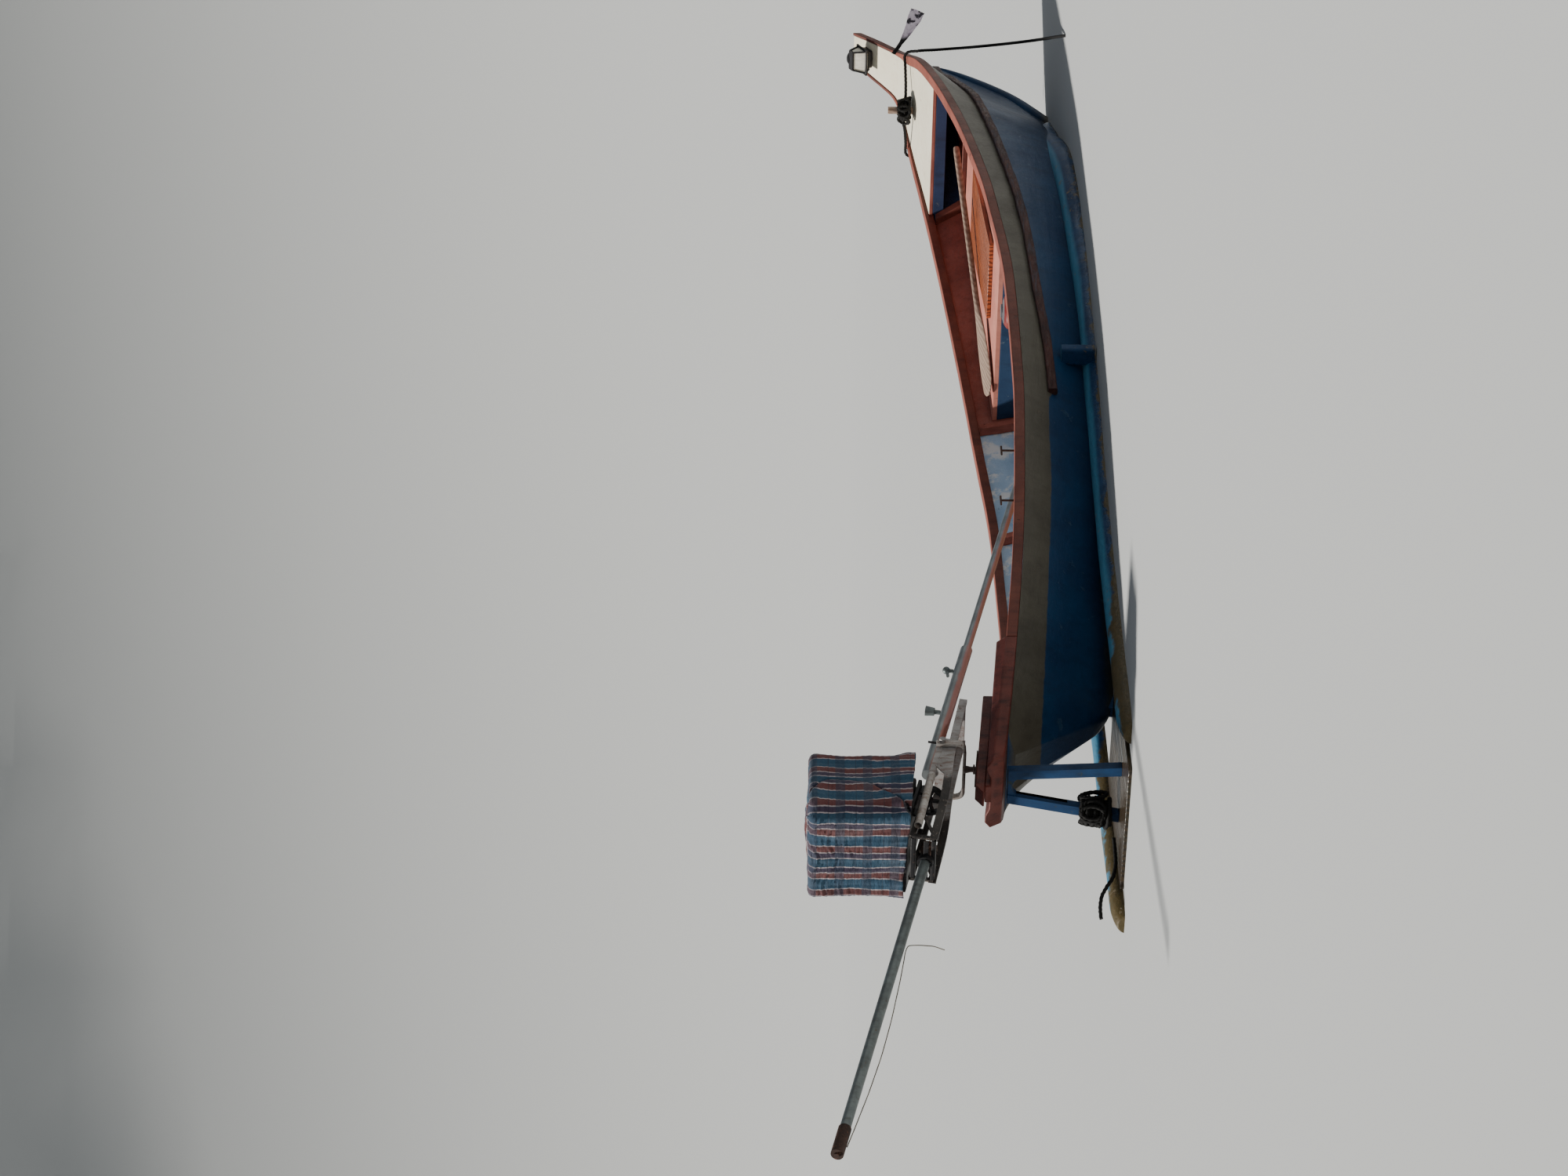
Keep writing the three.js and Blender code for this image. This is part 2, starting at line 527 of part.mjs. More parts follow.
// Ribs fit the planking's inside
const insideFit = hullInside(FIT_GAP);
const insideRib = hullInside(RIB.depth);
const railUnder = (x0, x1) => {
  const lower = Math.min(along(SHEER, 2, x0), along(SHEER, 2, x1));
  return lower - GUNWALE.depth - RIB.clearOfRail;
};
for (const [place, x] of Object.entries(RIBS)) {
  const slab = solidOf(block(x, x + RIB.width, -900, 900, -300, railUnder(x, x + RIB.width)));
  add(boat, `rib_${place}`, geometryOf(insideFit.intersect(slab).subtract(insideRib)), COLOURS.terracotta);
}

// Sole: planks side by side on the ribs, joined by a batten under each end
const plankPitch = (2 * SOLE.halfWidth + SOLE.gap) / SOLE.planks;
const planks = Array.from({ length: SOLE.planks }, (_, i) => {
  const low = -SOLE.halfWidth + i * plankPitch;
  const high = low + plankPitch - SOLE.gap;
  return solidOf(block(SOLE.aft, SOLE.fore, low, high, SOLE.bottom, SOLE.bottom + SOLE.thickness));
});
const battenHalf = SOLE.halfWidth - BATTEN.fromEdge;
const battens = [SOLE.aft + BATTEN.fromAft, SOLE.fore - BATTEN.fromFore].map((x) => solidOf(
  block(x, x + BATTEN.width, -battenHalf, battenHalf, SOLE.bottom - BATTEN.thickness, SOLE.bottom + 1),
));
const sole = [...planks, ...battens].reduce((a, b) => a.add(b)).intersect(insideFit);
add(boat, "sole_planks", geometryOf(sole), COLOURS.tan);

// Fore floor and its riser
const floorTop = (x) => FORE_FLOOR.height + FORE_FLOOR.slope * (x - RISER.x);
const floorSlab = (x0, x1, drop, thickness) => solidOf(loft([x0, x1].map((x) => {
  const top = floorTop(x) - drop;
  return [x, [[-900, top - thickness], [900, top - thickness], [900, top], [-900, top]]];
})));
const foreFloor = insideFit.intersect(floorSlab(RISER.x, FORE_FLOOR.fore, 0, FORE_FLOOR.thickness));
add(boat, "fore_floor", geometryOf(foreFloor), COLOURS.terracotta);
const riserX = [RISER.x, RISER.x + RISER.thickness];
const riser = insideFit.intersect(floorSlab(...riserX, FORE_FLOOR.thickness + FIT_GAP, 900));
add(boat, "floor_riser", geometryOf(riser), COLOURS.blue);

// Frame at the foredeck's edge, standing on the fore floor
const frameX = [FORE_FRAME.x, FORE_FRAME.x + FORE_FRAME.width];
const frameFoot = floorTop(frameX[1]) + FIT_GAP + 1;
const frameSlab = solidOf(block(...frameX, -900, 900, frameFoot, railUnder(...frameX)));
const frameHollow = insideRib.intersect(solidOf(block(
  frameX[0] - 1, frameX[1] + 1, -900, 900, floorTop(frameX[1]) + FORE_FRAME.footHeight, 1000,
)));
const foreFrame = insideFit.intersect(frameSlab).subtract(frameHollow);
add(boat, "fore_frame", geometryOf(foreFrame), COLOURS.terracotta);

// Foredeck and the swept-up bow plate
const deckTop = (x) => {
  const share = (Math.min(x, FOREDECK.levelAt) - FOREDECK.aft) / (FOREDECK.levelAt - FOREDECK.aft);
  return along(SHEER, 2, x) - THREE.MathUtils.lerp(FOREDECK.dropAft, FOREDECK.dropFore, share);
};
const deckRing = (x, thickness) => {
  const w = along(SHEER, 1, x) - gunwaleWidth(x) - FIT_GAP - 1.6;
  const top = deckTop(x);
  return [x, [[-w, top - thickness], [w, top - thickness], [w, top], [-w, top]]];
};
for (const [name, deck, step] of [["foredeck", FOREDECK, 90], ["bow_plate", BOW_PLATE, 45]]) {
  const rings = stationsBetween(deck.aft, deck.fore, step).map((x) => deckRing(x, deck.thickness));
  add(boat, name, loft(rings), COLOURS.cream);
}
const beamEnds = [DECK_BEAM.x, DECK_BEAM.x + DECK_BEAM.width];
const beamTop = deckTop(DECK_BEAM.x) - FOREDECK.thickness - 1;
const beamStep = railUnder(...beamEnds);
const beamHalf = along(SHEER, 1, beamEnds[1]) - GUNWALE.width - 1;
const beamSlab = solidOf(block(...beamEnds, -900, 900, beamTop - DECK_BEAM.depth, beamStep))
  .add(solidOf(block(...beamEnds, -beamHalf, beamHalf, beamStep - 1, beamTop)));
add(boat, "deck_beam", geometryOf(insideFit.intersect(beamSlab)), COLOURS.terracotta);

const postFoot = [POST.x, 0, deckTop(POST.x + POST.radius) + 1];
add(boat, "mooring_post", bar(postFoot, [POST.x, 0, POST.top], POST.radius, 20), COLOURS.greyWood);

for (const { name, x } of THOLES) {
  const y = THOLE.inboard - along(SHEER, 1, x);
  const base = along(SHEER, 2, x - THOLE.stem) + 0.5;
  const stem = solidOf(bar([x, y, base], [x, y, base + THOLE.height], THOLE.stem, 12));
  const cross = solidOf(bar([x - THOLE.barHalfLength, y, base + THOLE.height],
    [x + THOLE.barHalfLength, y, base + THOLE.height], THOLE.barRadius, 12));
  add(boat, name, union(stem, cross), COLOURS.rust, 0.6, 0.6);
}

// Loose gear
const looseShape = new THREE.BoxGeometry(LOOSE_BOARD.length, LOOSE_BOARD.width, LOOSE_BOARD.thickness);
const looseBoard = add(boat, "loose_board", looseShape, COLOURS.wood, 0.4);
const looseHeight = floorTop(LOOSE_BOARD.x) + LOOSE_BOARD.thickness / 2 + 1;
looseBoard.position.set(LOOSE_BOARD.x, LOOSE_BOARD.y, looseHeight);
looseBoard.rotation.set(0, -Math.atan(FORE_FLOOR.slope), LOOSE_BOARD.turn);

const paddleRun = new THREE.Vector3(...PADDLE.end).sub(new THREE.Vector3(...PADDLE.tip));
const bladeEnd = new THREE.Vector3(...PADDLE.tip).add(paddleRun.clone().setLength(PADDLE.bladeLength));
const bladeTip = PADDLE.bladeWidth * PADDLE.tipShare;
const bladeBulge = PADDLE.bladeWidth * PADDLE.bulgeShare;
const bladeShape = new THREE.Shape();
bladeShape.moveTo(0, -bladeTip);
bladeShape.quadraticCurveTo(PADDLE.bladeLength * 0.5, -bladeBulge, PADDLE.bladeLength, -PADDLE.radius);
bladeShape.lineTo(PADDLE.bladeLength, PADDLE.radius);
bladeShape.quadraticCurveTo(PADDLE.bladeLength * 0.5, bladeBulge, 0, bladeTip);
bladeShape.closePath();
const bladeOptions = { depth: PADDLE.bladeThickness, bevelEnabled: false, curveSegments: 6 };
const blade = new THREE.ExtrudeGeometry(bladeShape, bladeOptions);
blade.translate(0, 0, -PADDLE.bladeThickness / 2);
const paddleAhead = paddleRun.clone().normalize();
const paddleSide = new THREE.Vector3(0, 0, 1).cross(paddleAhead).normalize();
const paddleUp = paddleAhead.clone().cross(paddleSide);
blade.applyMatrix4(new THREE.Matrix4().makeBasis(paddleAhead, paddleSide, paddleUp));
blade.translate(...PADDLE.tip);
const shaftStart = bladeEnd.clone().addScaledVector(paddleAhead, -PADDLE.shaftBury);
const paddleShaft = solidOf(bar(shaftStart.toArray(), PADDLE.end, PADDLE.radius, 14));
add(boat, "paddle", union(solidOf(blade), paddleShaft), COLOURS.greyWood);

const can = CANISTER;
const canTop = can.height - can.base;
const canProfile = [
  [0, 0], [can.radius - can.footEdge, 0], [can.radius, can.footEdge], [can.radius, can.shoulder - can.base],
  [can.radius * can.domeShare, canTop - can.domeDrop], [can.neck, canTop - can.neckHeight], [can.neck, canTop],
  [0, canTop],
].map(([r, z]) => new THREE.Vector2(r, z));
const canShape = new THREE.LatheGeometry(canProfile, 28).rotateX(Math.PI / 2);
const canister = add(boat, "canister", canShape, COLOURS.red, 0.4);
canister.position.set(can.x, can.y, can.base);

const lanternBox = new THREE.BoxGeometry(LANTERN.length, LANTERN.width, LANTERN.height);
lanternBox.translate(0, 0, LANTERN.footHeight + LANTERN.height / 2 - 1);
const footLength = LANTERN.length - LANTERN.footInset;
const footWidth = LANTERN.width - LANTERN.footInset;
const lanternFoot = new THREE.BoxGeometry(footLength, footWidth, LANTERN.footHeight);
lanternFoot.translate(0, 0, LANTERN.footHeight / 2);
const lantern = add(boat, "lantern", union(solidOf(lanternBox), solidOf(lanternFoot)), COLOURS.black, 0.5);
lantern.position.set(LANTERN.x, LANTERN.y, deckTop(LANTERN.x) + LANTERN.rise);
lantern.rotation.y = LANTERN.tilt;

const ribbonRun = new THREE.Vector3(...RIBBON.run);
const ribbon = new THREE.BoxGeometry(ribbonRun.length(), RIBBON.thickness, RIBBON.width);
const ribbonAhead = ribbonRun.clone().normalize();
const ribbonSide = new THREE.Vector3(0, 0, 1).cross(ribbonAhead).normalize();
const ribbonUp = ribbonAhead.clone().cross(ribbonSide);
ribbon.applyMatrix4(new THREE.Matrix4().makeBasis(ribbonAhead, ribbonSide, ribbonUp));
const ribbonMiddle = new THREE.Vector3(...RIBBON.root).addScaledVector(ribbonRun, 0.5);
ribbon.translate(ribbonMiddle.x, ribbonMiddle.y, ribbonMiddle.z);
add(boat, "bow_ribbon", ribbon, COLOURS.cloth);

// Ropes on the hull
const postRing = BOW_ROPE_COIL;
const ringHeight = postRing.top - postRing.bottom;
const ringProfile = [
  [postRing.inner, 0], [postRing.outer - postRing.edge, 0], [postRing.outer, 2 * ROPE_RADIUS],
  [postRing.outer, ringHeight - 2 * ROPE_RADIUS], [postRing.outer - postRing.edge, ringHeight],
  [postRing.inner, ringHeight], [postRing.inner, 0],
].map(([r, z]) => new THREE.Vector2(r, z));
const ringShape = new THREE.LatheGeometry(ringProfile, 28).rotateX(Math.PI / 2);
const bowCoil = add(boat, "bow_rope_coil", ringShape, COLOURS.rope);
bowCoil.position.set(POST.x, 0, postRing.bottom);
add(boat, "bow_rope_starboard", cordSolid(BOW_ROPE_STARBOARD, ROPE_RADIUS, 8, 60), COLOURS.rope);
add(boat, "bow_rope_port", cordSolid(BOW_ROPE_PORT, ROPE_RADIUS, 8, 26), COLOURS.rope);

function knotAfter(points, radius) {
  const end = new THREE.Vector3(...points[points.length - 1]);
  const before = new THREE.Vector3(...points[points.length - 2]);
  const ahead = end.clone().sub(before).normalize();
  const knot = new THREE.SphereGeometry(radius, 14, 10);
  const centre = end.addScaledVector(ahead, radius + FIT_GAP);
  knot.translate(centre.x, centre.y, centre.z);
  return knot;
}
add(boat, "bow_rope_knot", knotAfter(BOW_ROPE_STARBOARD, KNOT_RADIUS), COLOURS.rope);
add(boat, "bow_rope_port_knot", knotAfter(BOW_ROPE_PORT, KNOT_RADIUS), COLOURS.rope);

// The stern coil wraps the port leg, so it is cut back around the leg
const legAt = (z) => {
  const t = (z - LEG.foot[2]) / (LEG.top[2] - LEG.foot[2]);
  const [x, y] = [0, 1].map((axis) => THREE.MathUtils.lerp(LEG.foot[axis], LEG.top[axis], t));
  return [x, y, z];
};
const turns = STERN_ROPE_COIL;
const sternCoil = solidOf(bar(legAt(turns.bottom), legAt(turns.top), turns.radius, 24));
const legHollow = solidOf(leaningPost(
  legAt(turns.bottom - LEG.size), legAt(turns.top + LEG.size), LEG.size + 2 * FIT_GAP,
));
add(boat, "stern_rope_coil", cut(sternCoil, legHollow), COLOURS.rope);
add(boat, "stern_rope_trail", cordSolid(STERN_ROPE_TRAIL, ROPE_RADIUS, 8, 30), COLOURS.rope);

// Yoke: a bar with two arms, on a pin that turns in the engine bed
const steeringPin = (low, high, radius, topRadius = radius) => solidOf(bar(
  [STEERING_X, 0, low], [STEERING_X, 0, high], radius, 24, topRadius,
));
const pin = STEERING_PIN;
const pinTop = YOKE.barTop - 2;
const collarLow = bedTop(STEERING_X) + FIT_GAP + BED_PLATE.thickness + pin.collarGap;
const yokePin = steeringPin(pin.bottom, pinTop, pin.radius);
const yokeCollar = steeringPin(collarLow, collarLow + pin.collarHeight, pin.collarRadius);
const yokeCone = steeringPin(pin.coneBottom, pinTop, pin.radius, pin.coneRadius);
const sideShift = (sign) => (sign > 0 ? YOKE.portShift : 0);
const yokeBar = solidOf(block(STEERING_X - YOKE.barWidth / 2, STEERING_X + YOKE.barWidth / 2,
  -YOKE.barHalf - 2, YOKE.barHalf + 2 + YOKE.portShift, YOKE.barTop - YOKE.barThickness, YOKE.barTop));
const yokeArm = (sign) => {
  const shape = new THREE.Shape();
  const inner = YOKE.armInner + sideShift(sign);
  const outer = YOKE.armOuter + sideShift(sign);
  const barEnd = YOKE.barHalf + sideShift(sign);
  const low = YOKE.barTop - YOKE.barThickness;
  shape.moveTo(barEnd, low);
  shape.quadraticCurveTo(outer, low, outer, low + YOKE.bendRadius + 10);
  shape.lineTo(outer, YOKE.armTop);
  shape.lineTo(inner, YOKE.armTop);
  shape.lineTo(inner, low + YOKE.bendRadius + 14);
  shape.quadraticCurveTo(inner, YOKE.barTop, barEnd, YOKE.barTop);
  shape.closePath();
  const options = { depth: YOKE.armWidth, bevelEnabled: false, curveSegments: 6 };
  const arm = new THREE.ExtrudeGeometry(shape, options);
  arm.applyMatrix4(new THREE.Matrix4().makeBasis(
    new THREE.Vector3(0, sign, 0), new THREE.Vector3(0, 0, 1), new THREE.Vector3(sign, 0, 0),
  ));
  arm.translate(PIVOT.x - YOKE.armSetBack - (sign * YOKE.armWidth) / 2, 0, 0);
  return solidOf(arm);
};
const boltHole = solidOf(bar([PIVOT.x, -200, PIVOT.z], [PIVOT.x, 200, PIVOT.z], PIVOT_BOLT.holeRadius, 24));
const yokeParts = [yokePin, yokeCone, yokeCollar, yokeBar, yokeArm(1), yokeArm(-1)];
add(steered, "yoke", cut(yokeParts.reduce((a, b) => a.add(b)), boltHole), COLOURS.whitePaint, 0.5, 0.4);

// Engine frame sides: a sloping lower channel, an upper rail and the posts between, with the pivot bolt
const channelLow = (x) => along(CHANNEL_LOW, 1, x);
function sideStrip(sign, stations, low, high) {
  return solidOf(loft(stations.map((x) => {
    const inner = CHANNEL.inner;
    const outer = inner + CHANNEL.thickness;
    const ring = [[inner, low(x)], [outer, low(x)], [outer, high(x)], [inner, high(x)]];
    return [x, sign > 0 ? ring : ring.map(([y, z]) => [-y, z]).reverse()];
  })));
}
const FRAME_POSTS = { at: [-560, -340, -170, -18, 26], width: 22, bury: 10 };
const channelStations = stationsBetween(CHANNEL_LOW[0][0], CHANNEL_LOW.at(-1)[0], 100);
for (const [sign, name] of [[-1, "frame_side_starboard"], [1, "frame_side_port"]]) {
  const channel = sideStrip(sign, channelStations, channelLow, (x) => channelLow(x) + CHANNEL.height);
  const rail = sideStrip(sign, [RAIL.aft, RAIL.fore], () => RAIL.low, () => RAIL.low + RAIL.height);
  const posts = FRAME_POSTS.at.map((x) => sideStrip(sign, [x, x + FRAME_POSTS.width],
    (at) => channelLow(at) + FRAME_POSTS.bury, () => RAIL.low + FRAME_POSTS.bury));
  const armFace = YOKE.armOuter + sideShift(sign);
  const headFrom = armFace + PIVOT_BOLT.headGap;
  const headTo = headFrom + PIVOT_BOLT.headThickness;
  const boltFrom = CHANNEL.inner + 4;
  const bolt = solidOf(bar([0, sign * boltFrom, 0], [0, sign * (headFrom + 2), 0], PIVOT_BOLT.radius, 20));
  const head = solidOf(bar([0, sign * headFrom, 0], [0, sign * headTo, 0], PIVOT_BOLT.headRadius, 6));
  add(engine, name, geometryOf([channel, rail, ...posts, bolt, head].reduce((a, b) => a.add(b))),
    COLOURS.whitePaint, 0.5, 0.3);
}

const tieHalf = CHANNEL.inner - FIT_GAP;
const tieLow = channelLow(TIE.x) + TIE.rise;
const tieShape = block(TIE.x, TIE.x + TIE.thickness, -tieHalf, tieHalf, tieLow, tieLow + TIE.height);
add(engine, "frame_tie_fore", tieShape, COLOURS.whitePaint, 0.5, 0.3);
const seatTop = HANDLE.z - HANDLE.sleeveRadius - FIT_GAP;
const seatEnd = HANDLE_SEAT.x + HANDLE_SEAT.length;
const seatShape = block(HANDLE_SEAT.x, seatEnd, -tieHalf, tieHalf, RAIL.low + 1, seatTop);
add(engine, "handle_seat", seatShape, COLOURS.whitePaint, 0.5, 0.3);

// A round bar along the tilted frame, at a height above or below the pivot
const tailBar = (x0, x1, radius, z = TAIL.z) => solidOf(bar([x0, 0, z], [x1, 0, z], radius, 28));
const flangeAft = RAIL.aft + FIT_GAP;
const flangeFore = flangeAft + FLANGE.thickness;
const flangeHole = tailBar(flangeAft - 100, flangeAft + 100, FLANGE.holeRadius);
const flangePlate = solidOf(block(flangeAft, flangeFore, -tieHalf, tieHalf, FLANGE.low, FLANGE.high));
const bossBody = tailBar(flangeAft - FLANGE.bossLength, flangeAft + 1, FLANGE.bossRadius);
const bossBore = tailBar(flangeAft - 2 * FLANGE.bossLength, flangeAft, FLANGE.bossBore);
const flangeShape = cut(flangePlate.add(bossBody.subtract(bossBore)), flangeHole);
add(engine, "tail_flange", flangeShape, COLOURS.galvanised, 0.5, 0.6);

const plate = ENGINE_PLATE;
const plateParts = [solidOf(block(
  plate.aft, plate.fore, -plate.halfWidth, plate.halfWidth, plate.low, plate.low + plate.thickness,
))];
for (const sign of [-1, 1]) {
  for (const x of [plate.aft + plate.footFromEnd, plate.fore - plate.footFromEnd - plate.footLength]) {
    const y = sign * (CHANNEL.inner + CHANNEL.thickness / 2);
    plateParts.push(solidOf(block(x, x + plate.footLength, y - plate.footWidth / 2, y + plate.footWidth / 2,
      RAIL.low + RAIL.height + FIT_GAP, plate.low + 2)));
  }
}
add(engine, "engine_plate", geometryOf(plateParts.reduce((a, b) => a.add(b))), COLOURS.black, 0.6);
const motor = ENGINE_BLOCK;
const motorTop = motor.low + motor.height;
const motorShape = block(motor.aft, motor.fore, -motor.halfWidth, motor.halfWidth, motor.low, motorTop);
add(engine, "engine_block", motorShape, COLOURS.black, 0.6, 0.3);

// Cloth cover: a hollow box, open below, with a crowned top and soft corners
function coverSolid(inset, bottomDrop) {
  const w = COVER.halfWidth - inset;
  const corner = COVER.corner;
  const x0 = COVER.aft + inset;
  const x1 = COVER.fore - inset;
  const stations = [
    [x0, COVER.edgeDrop], [x0 + COVER.shoulder, COVER.innerDrop], [(x0 + x1) / 2, 0],
    [x1 - COVER.shoulder, COVER.innerDrop], [x1, COVER.edgeDrop],
  ];
  return solidOf(loft(stations.map(([x, drop]) => {
    const t = (x - x0) / (x1 - x0);
    const low = THREE.MathUtils.lerp(COVER.bottomAft, COVER.bottomFore, t) - bottomDrop;
    const rise = COVER.topMiddle - COVER.topAft;
    const high = COVER.topAft + rise * Math.sin(Math.PI * t) - drop - inset;
    return [x, [
      [-w, low], [w, low], [w, high - corner], [w - corner, high], [corner - w, high], [-w, high - corner],
    ]];
  })));
}
add(boat, "engine_cover", cut(coverSolid(0, 0), coverSolid(COVER.wall, 60)), COLOURS.plaid, 0.9);

// Handle, its fittings and the short side tube
const h = HANDLE;
const sleeve = tailBar(h.sleeveAft, h.sleeveFore, h.sleeveRadius, h.z);
const handleTube = tailBar(h.sleeveFore - 5, h.end, h.tubeRadius, h.z);
add(engine, "handle_tube", union(sleeve, handleTube), COLOURS.galvanised, 0.4, 0.8);
const cup = GREASE_CUP;
const cupBase = h.z + h.sleeveRadius - 2;
const cupStem = solidOf(bar([cup.x, 0, cupBase + 3], [cup.x, 0, cup.stemTop], cup.stem, 16));
const cupFoot = cup.cupRadius * cup.taper;
const cupBowl = solidOf(bar([cup.x, 0, cup.stemTop - 3], [cup.x, 0, cup.top], cupFoot, 20, cup.cupRadius));
add(engine, "grease_cup", union(cupStem, cupBowl), COLOURS.galvanised, 0.4, 0.7);
const lever = CLAMP_LEVER;
const leverStem = solidOf(bar([lever.x, 0, cupBase + 3], [lever.x, 0, lever.top], lever.radius, 14));
const leverArm = solidOf(bar(
  [lever.x - lever.armLength, 0, lever.top - 14], [lever.x, 0, lever.top - 4], lever.armRadius, 12,
));
const leverBall = solidOf(new THREE.SphereGeometry(lever.ball, 16, 10).translate(lever.x, 0, lever.top));
add(engine, "clamp_lever", union(leverStem, leverArm, leverBall), COLOURS.galvanised, 0.4, 0.7);
const pipe = SIDE_TUBE;
const pipeSlope = (pipe.foreZ - pipe.aftZ) / (pipe.fore - pipe.aft);
const pipePoint = (x) => [x, pipe.y, pipe.aftZ + pipeSlope * (x - pipe.aft)];
const pipeBody = solidOf(bar(pipePoint(pipe.aft), pipePoint(pipe.fore), pipe.radius, 20));
const pipeBore = solidOf(bar(pipePoint(pipe.aft - 5), pipePoint(pipe.fore + 5), pipe.bore, 20));
add(engine, "side_tube", cut(pipeBody, pipeBore), COLOURS.galvanised, 0.4, 0.7);

// Tail tube with its end bearing, and the shaft that turns in it
const tubeShape = cut(tailBar(TAIL.aft, TAIL.fore, TAIL.radius), tailBar(TAIL.aft - 5, TAIL.fore + 5, TAIL.bore));
add(engine, "tail_tube", tubeShape, COLOURS.galvanised, 0.5, 0.7);
const bearingBody = tailBar(TAIL.end, TAIL.aft - FIT_GAP, TAIL.collarRadius);
const bearingBore = tailBar(TAIL.end - 5, TAIL.aft + 5, TAIL_SHAFT.bearingBore);
add(engine, "tail_bearing", cut(bearingBody, bearingBore), COLOURS.rust, 0.7, 0.4);
const shaftRod = tailBar(TAIL_SHAFT.aft, TAIL_SHAFT.fore, TAIL_SHAFT.radius);
const shaftDisc = tailBar(TAIL_SHAFT.discAft, TAIL_SHAFT.discFore, TAIL_SHAFT.discRadius);
add(engine, "tail_shaft", union(shaftRod, shaftDisc), COLOURS.rust, 0.5, 0.7);

// Spoked pulley on the engine's output shaft
const pulleyShape = new THREE.Shape();
pulleyShape.absarc(0, 0, PULLEY.radius, 0, Math.PI * 2);
const rimHole = new THREE.Path();
rimHole.absarc(0, 0, PULLEY.radius - PULLEY.rim, 0, Math.PI * 2, true);
pulleyShape.holes.push(rimHole);
const rimOptions = { depth: PULLEY.width, bevelEnabled: false, curveSegments: 20 };
const rimRing = new THREE.ExtrudeGeometry(pulleyShape, rimOptions);
const pulleyParts = [solidOf(rimRing), solidOf(bar([0, 0, 0], [0, 0, PULLEY.width], PULLEY.hub, 20))];
for (let i = 0; i < PULLEY.spokes; i += 1) {
  const half = PULLEY.spoke / 2;
  const spoke = block(PULLEY.hub - 4, PULLEY.radius - PULLEY.rim + 3, -half, half, 5, PULLEY.width - 5);
  pulleyParts.push(solidOf(spoke.rotateZ((i / PULLEY.spokes) * Math.PI * 2)));
}
const shaftLength = PULLEY.x - ENGINE_BLOCK.fore - 1;
pulleyParts.push(solidOf(bar([0, 0, -shaftLength], [0, 0, 2], PULLEY.shaft, 16)));
const pulleyBody = geometryOf(pulleyParts.reduce((a, b) => a.add(b)));
const pulley = add(engine, "pulley", pulleyBody, COLOURS.black, 0.6, 0.4);
pulley.position.set(PULLEY.x, 0, PULLEY.z);
pulley.rotation.y = Math.PI / 2;

add(engine, "tail_cord", cordSolid(TAIL_CORD, TAIL_CORD_RADIUS, 8, 70), COLOURS.rope);

export default boat;
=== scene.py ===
# %% [markdown]
# # A small wooden longtail boat
# The boat was drawn first as solids, in metres, with +X forward, +Y to port and +Z up, afloat on the plane z = 0.
# Those solids are the frame here: some stay and get a finish, others are hidden and a finer surface stands for them.
# Bodies: the hull, the steering yoke, the tilting engine frame with its long tail tube, the shaft and the pulley.

# %% Load the frame
import math

import bpy
import numpy as np
from mathutils import Matrix, Vector


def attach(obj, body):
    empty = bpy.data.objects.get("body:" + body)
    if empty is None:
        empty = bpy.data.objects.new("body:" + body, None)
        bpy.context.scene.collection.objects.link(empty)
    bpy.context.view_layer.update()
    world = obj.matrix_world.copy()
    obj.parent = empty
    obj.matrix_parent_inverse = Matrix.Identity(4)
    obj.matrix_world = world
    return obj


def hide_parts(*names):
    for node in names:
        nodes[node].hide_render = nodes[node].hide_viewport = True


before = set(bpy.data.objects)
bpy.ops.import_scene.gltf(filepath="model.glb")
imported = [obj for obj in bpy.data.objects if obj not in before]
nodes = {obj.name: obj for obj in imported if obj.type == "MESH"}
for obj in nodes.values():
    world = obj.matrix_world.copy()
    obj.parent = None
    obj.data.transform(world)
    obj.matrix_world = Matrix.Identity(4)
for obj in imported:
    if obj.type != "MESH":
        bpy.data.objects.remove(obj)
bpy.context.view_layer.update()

# %% [markdown]
# ## Three helpers for surfaces
# A boat is nearly all sweeps: a section drawn at many stations along a line. So one helper reads a table of stations
# smoothly, one runs a smooth line through a few points, and one turns a grid of points into a mesh.
# Modelling with edit-mode tools would work too, but tables keep every plank edge on the same named lines.

# %% Tables and smooth paths
MM = 0.001
FOLD = math.radians(35)
SIDES = ((-1, "starboard"), (1, "port"))


def smooth_value(rows, column, x):
    """A table's column at the places x. Between two rows it is a cubic whose slope at each row is the harmonic mean
    of the two chords that meet there, or zero where they turn, so that it never overshoots a row."""
    table = np.asarray(rows, float)
    knots, values = table[:, 0], table[:, column]
    x = np.clip(np.asarray(x, float), knots[0], knots[-1])
    chords = np.diff(values) / np.diff(knots)
    before, after = chords[:-1], chords[1:]
    same_way = before * after > 0
    inner = np.where(same_way, 2 * before * after / np.where(same_way, before + after, 1), 0)
    slopes = np.concatenate([[chords[0]], inner, [chords[-1]]])
    i = np.clip(np.searchsorted(knots, x, side="right") - 1, 0, len(knots) - 2)
    span = knots[i + 1] - knots[i]
    t = (x - knots[i]) / span
    heights = (1 + 2 * t) * (1 - t) ** 2 * values[i] + t * t * (3 - 2 * t) * values[i + 1]
    return heights + span * (t * (1 - t) ** 2 * slopes[i] + t * t * (t - 1) * slopes[i + 1])


def distance_run(points):
    """The distance from the first point to each one, along the straight legs between them."""
    return np.concatenate([[0], np.cumsum(np.linalg.norm(np.diff(points, axis=0), axis=1))])


def smooth_path(points, count):
    """count points on a smooth line through the given ones: each coordinate is a smooth value of the distance run
    along the straight legs, so the line passes through every point."""
    points = np.asarray(points, float)
    run = distance_run(points)
    at = np.linspace(0, run[-1], count)
    return np.stack([smooth_value(np.stack([run, points[:, k]], 1), 1, at) for k in range(3)], 1)


def path_length(path):
    return float(np.linalg.norm(np.diff(path, axis=0), axis=1).sum())


def around(count):
    """count angles evenly round a circle, from 0."""
    return np.linspace(0, 2 * np.pi, count + 1)[:-1]


def unit(vectors):
    return vectors / np.linalg.norm(vectors, axis=-1, keepdims=True)


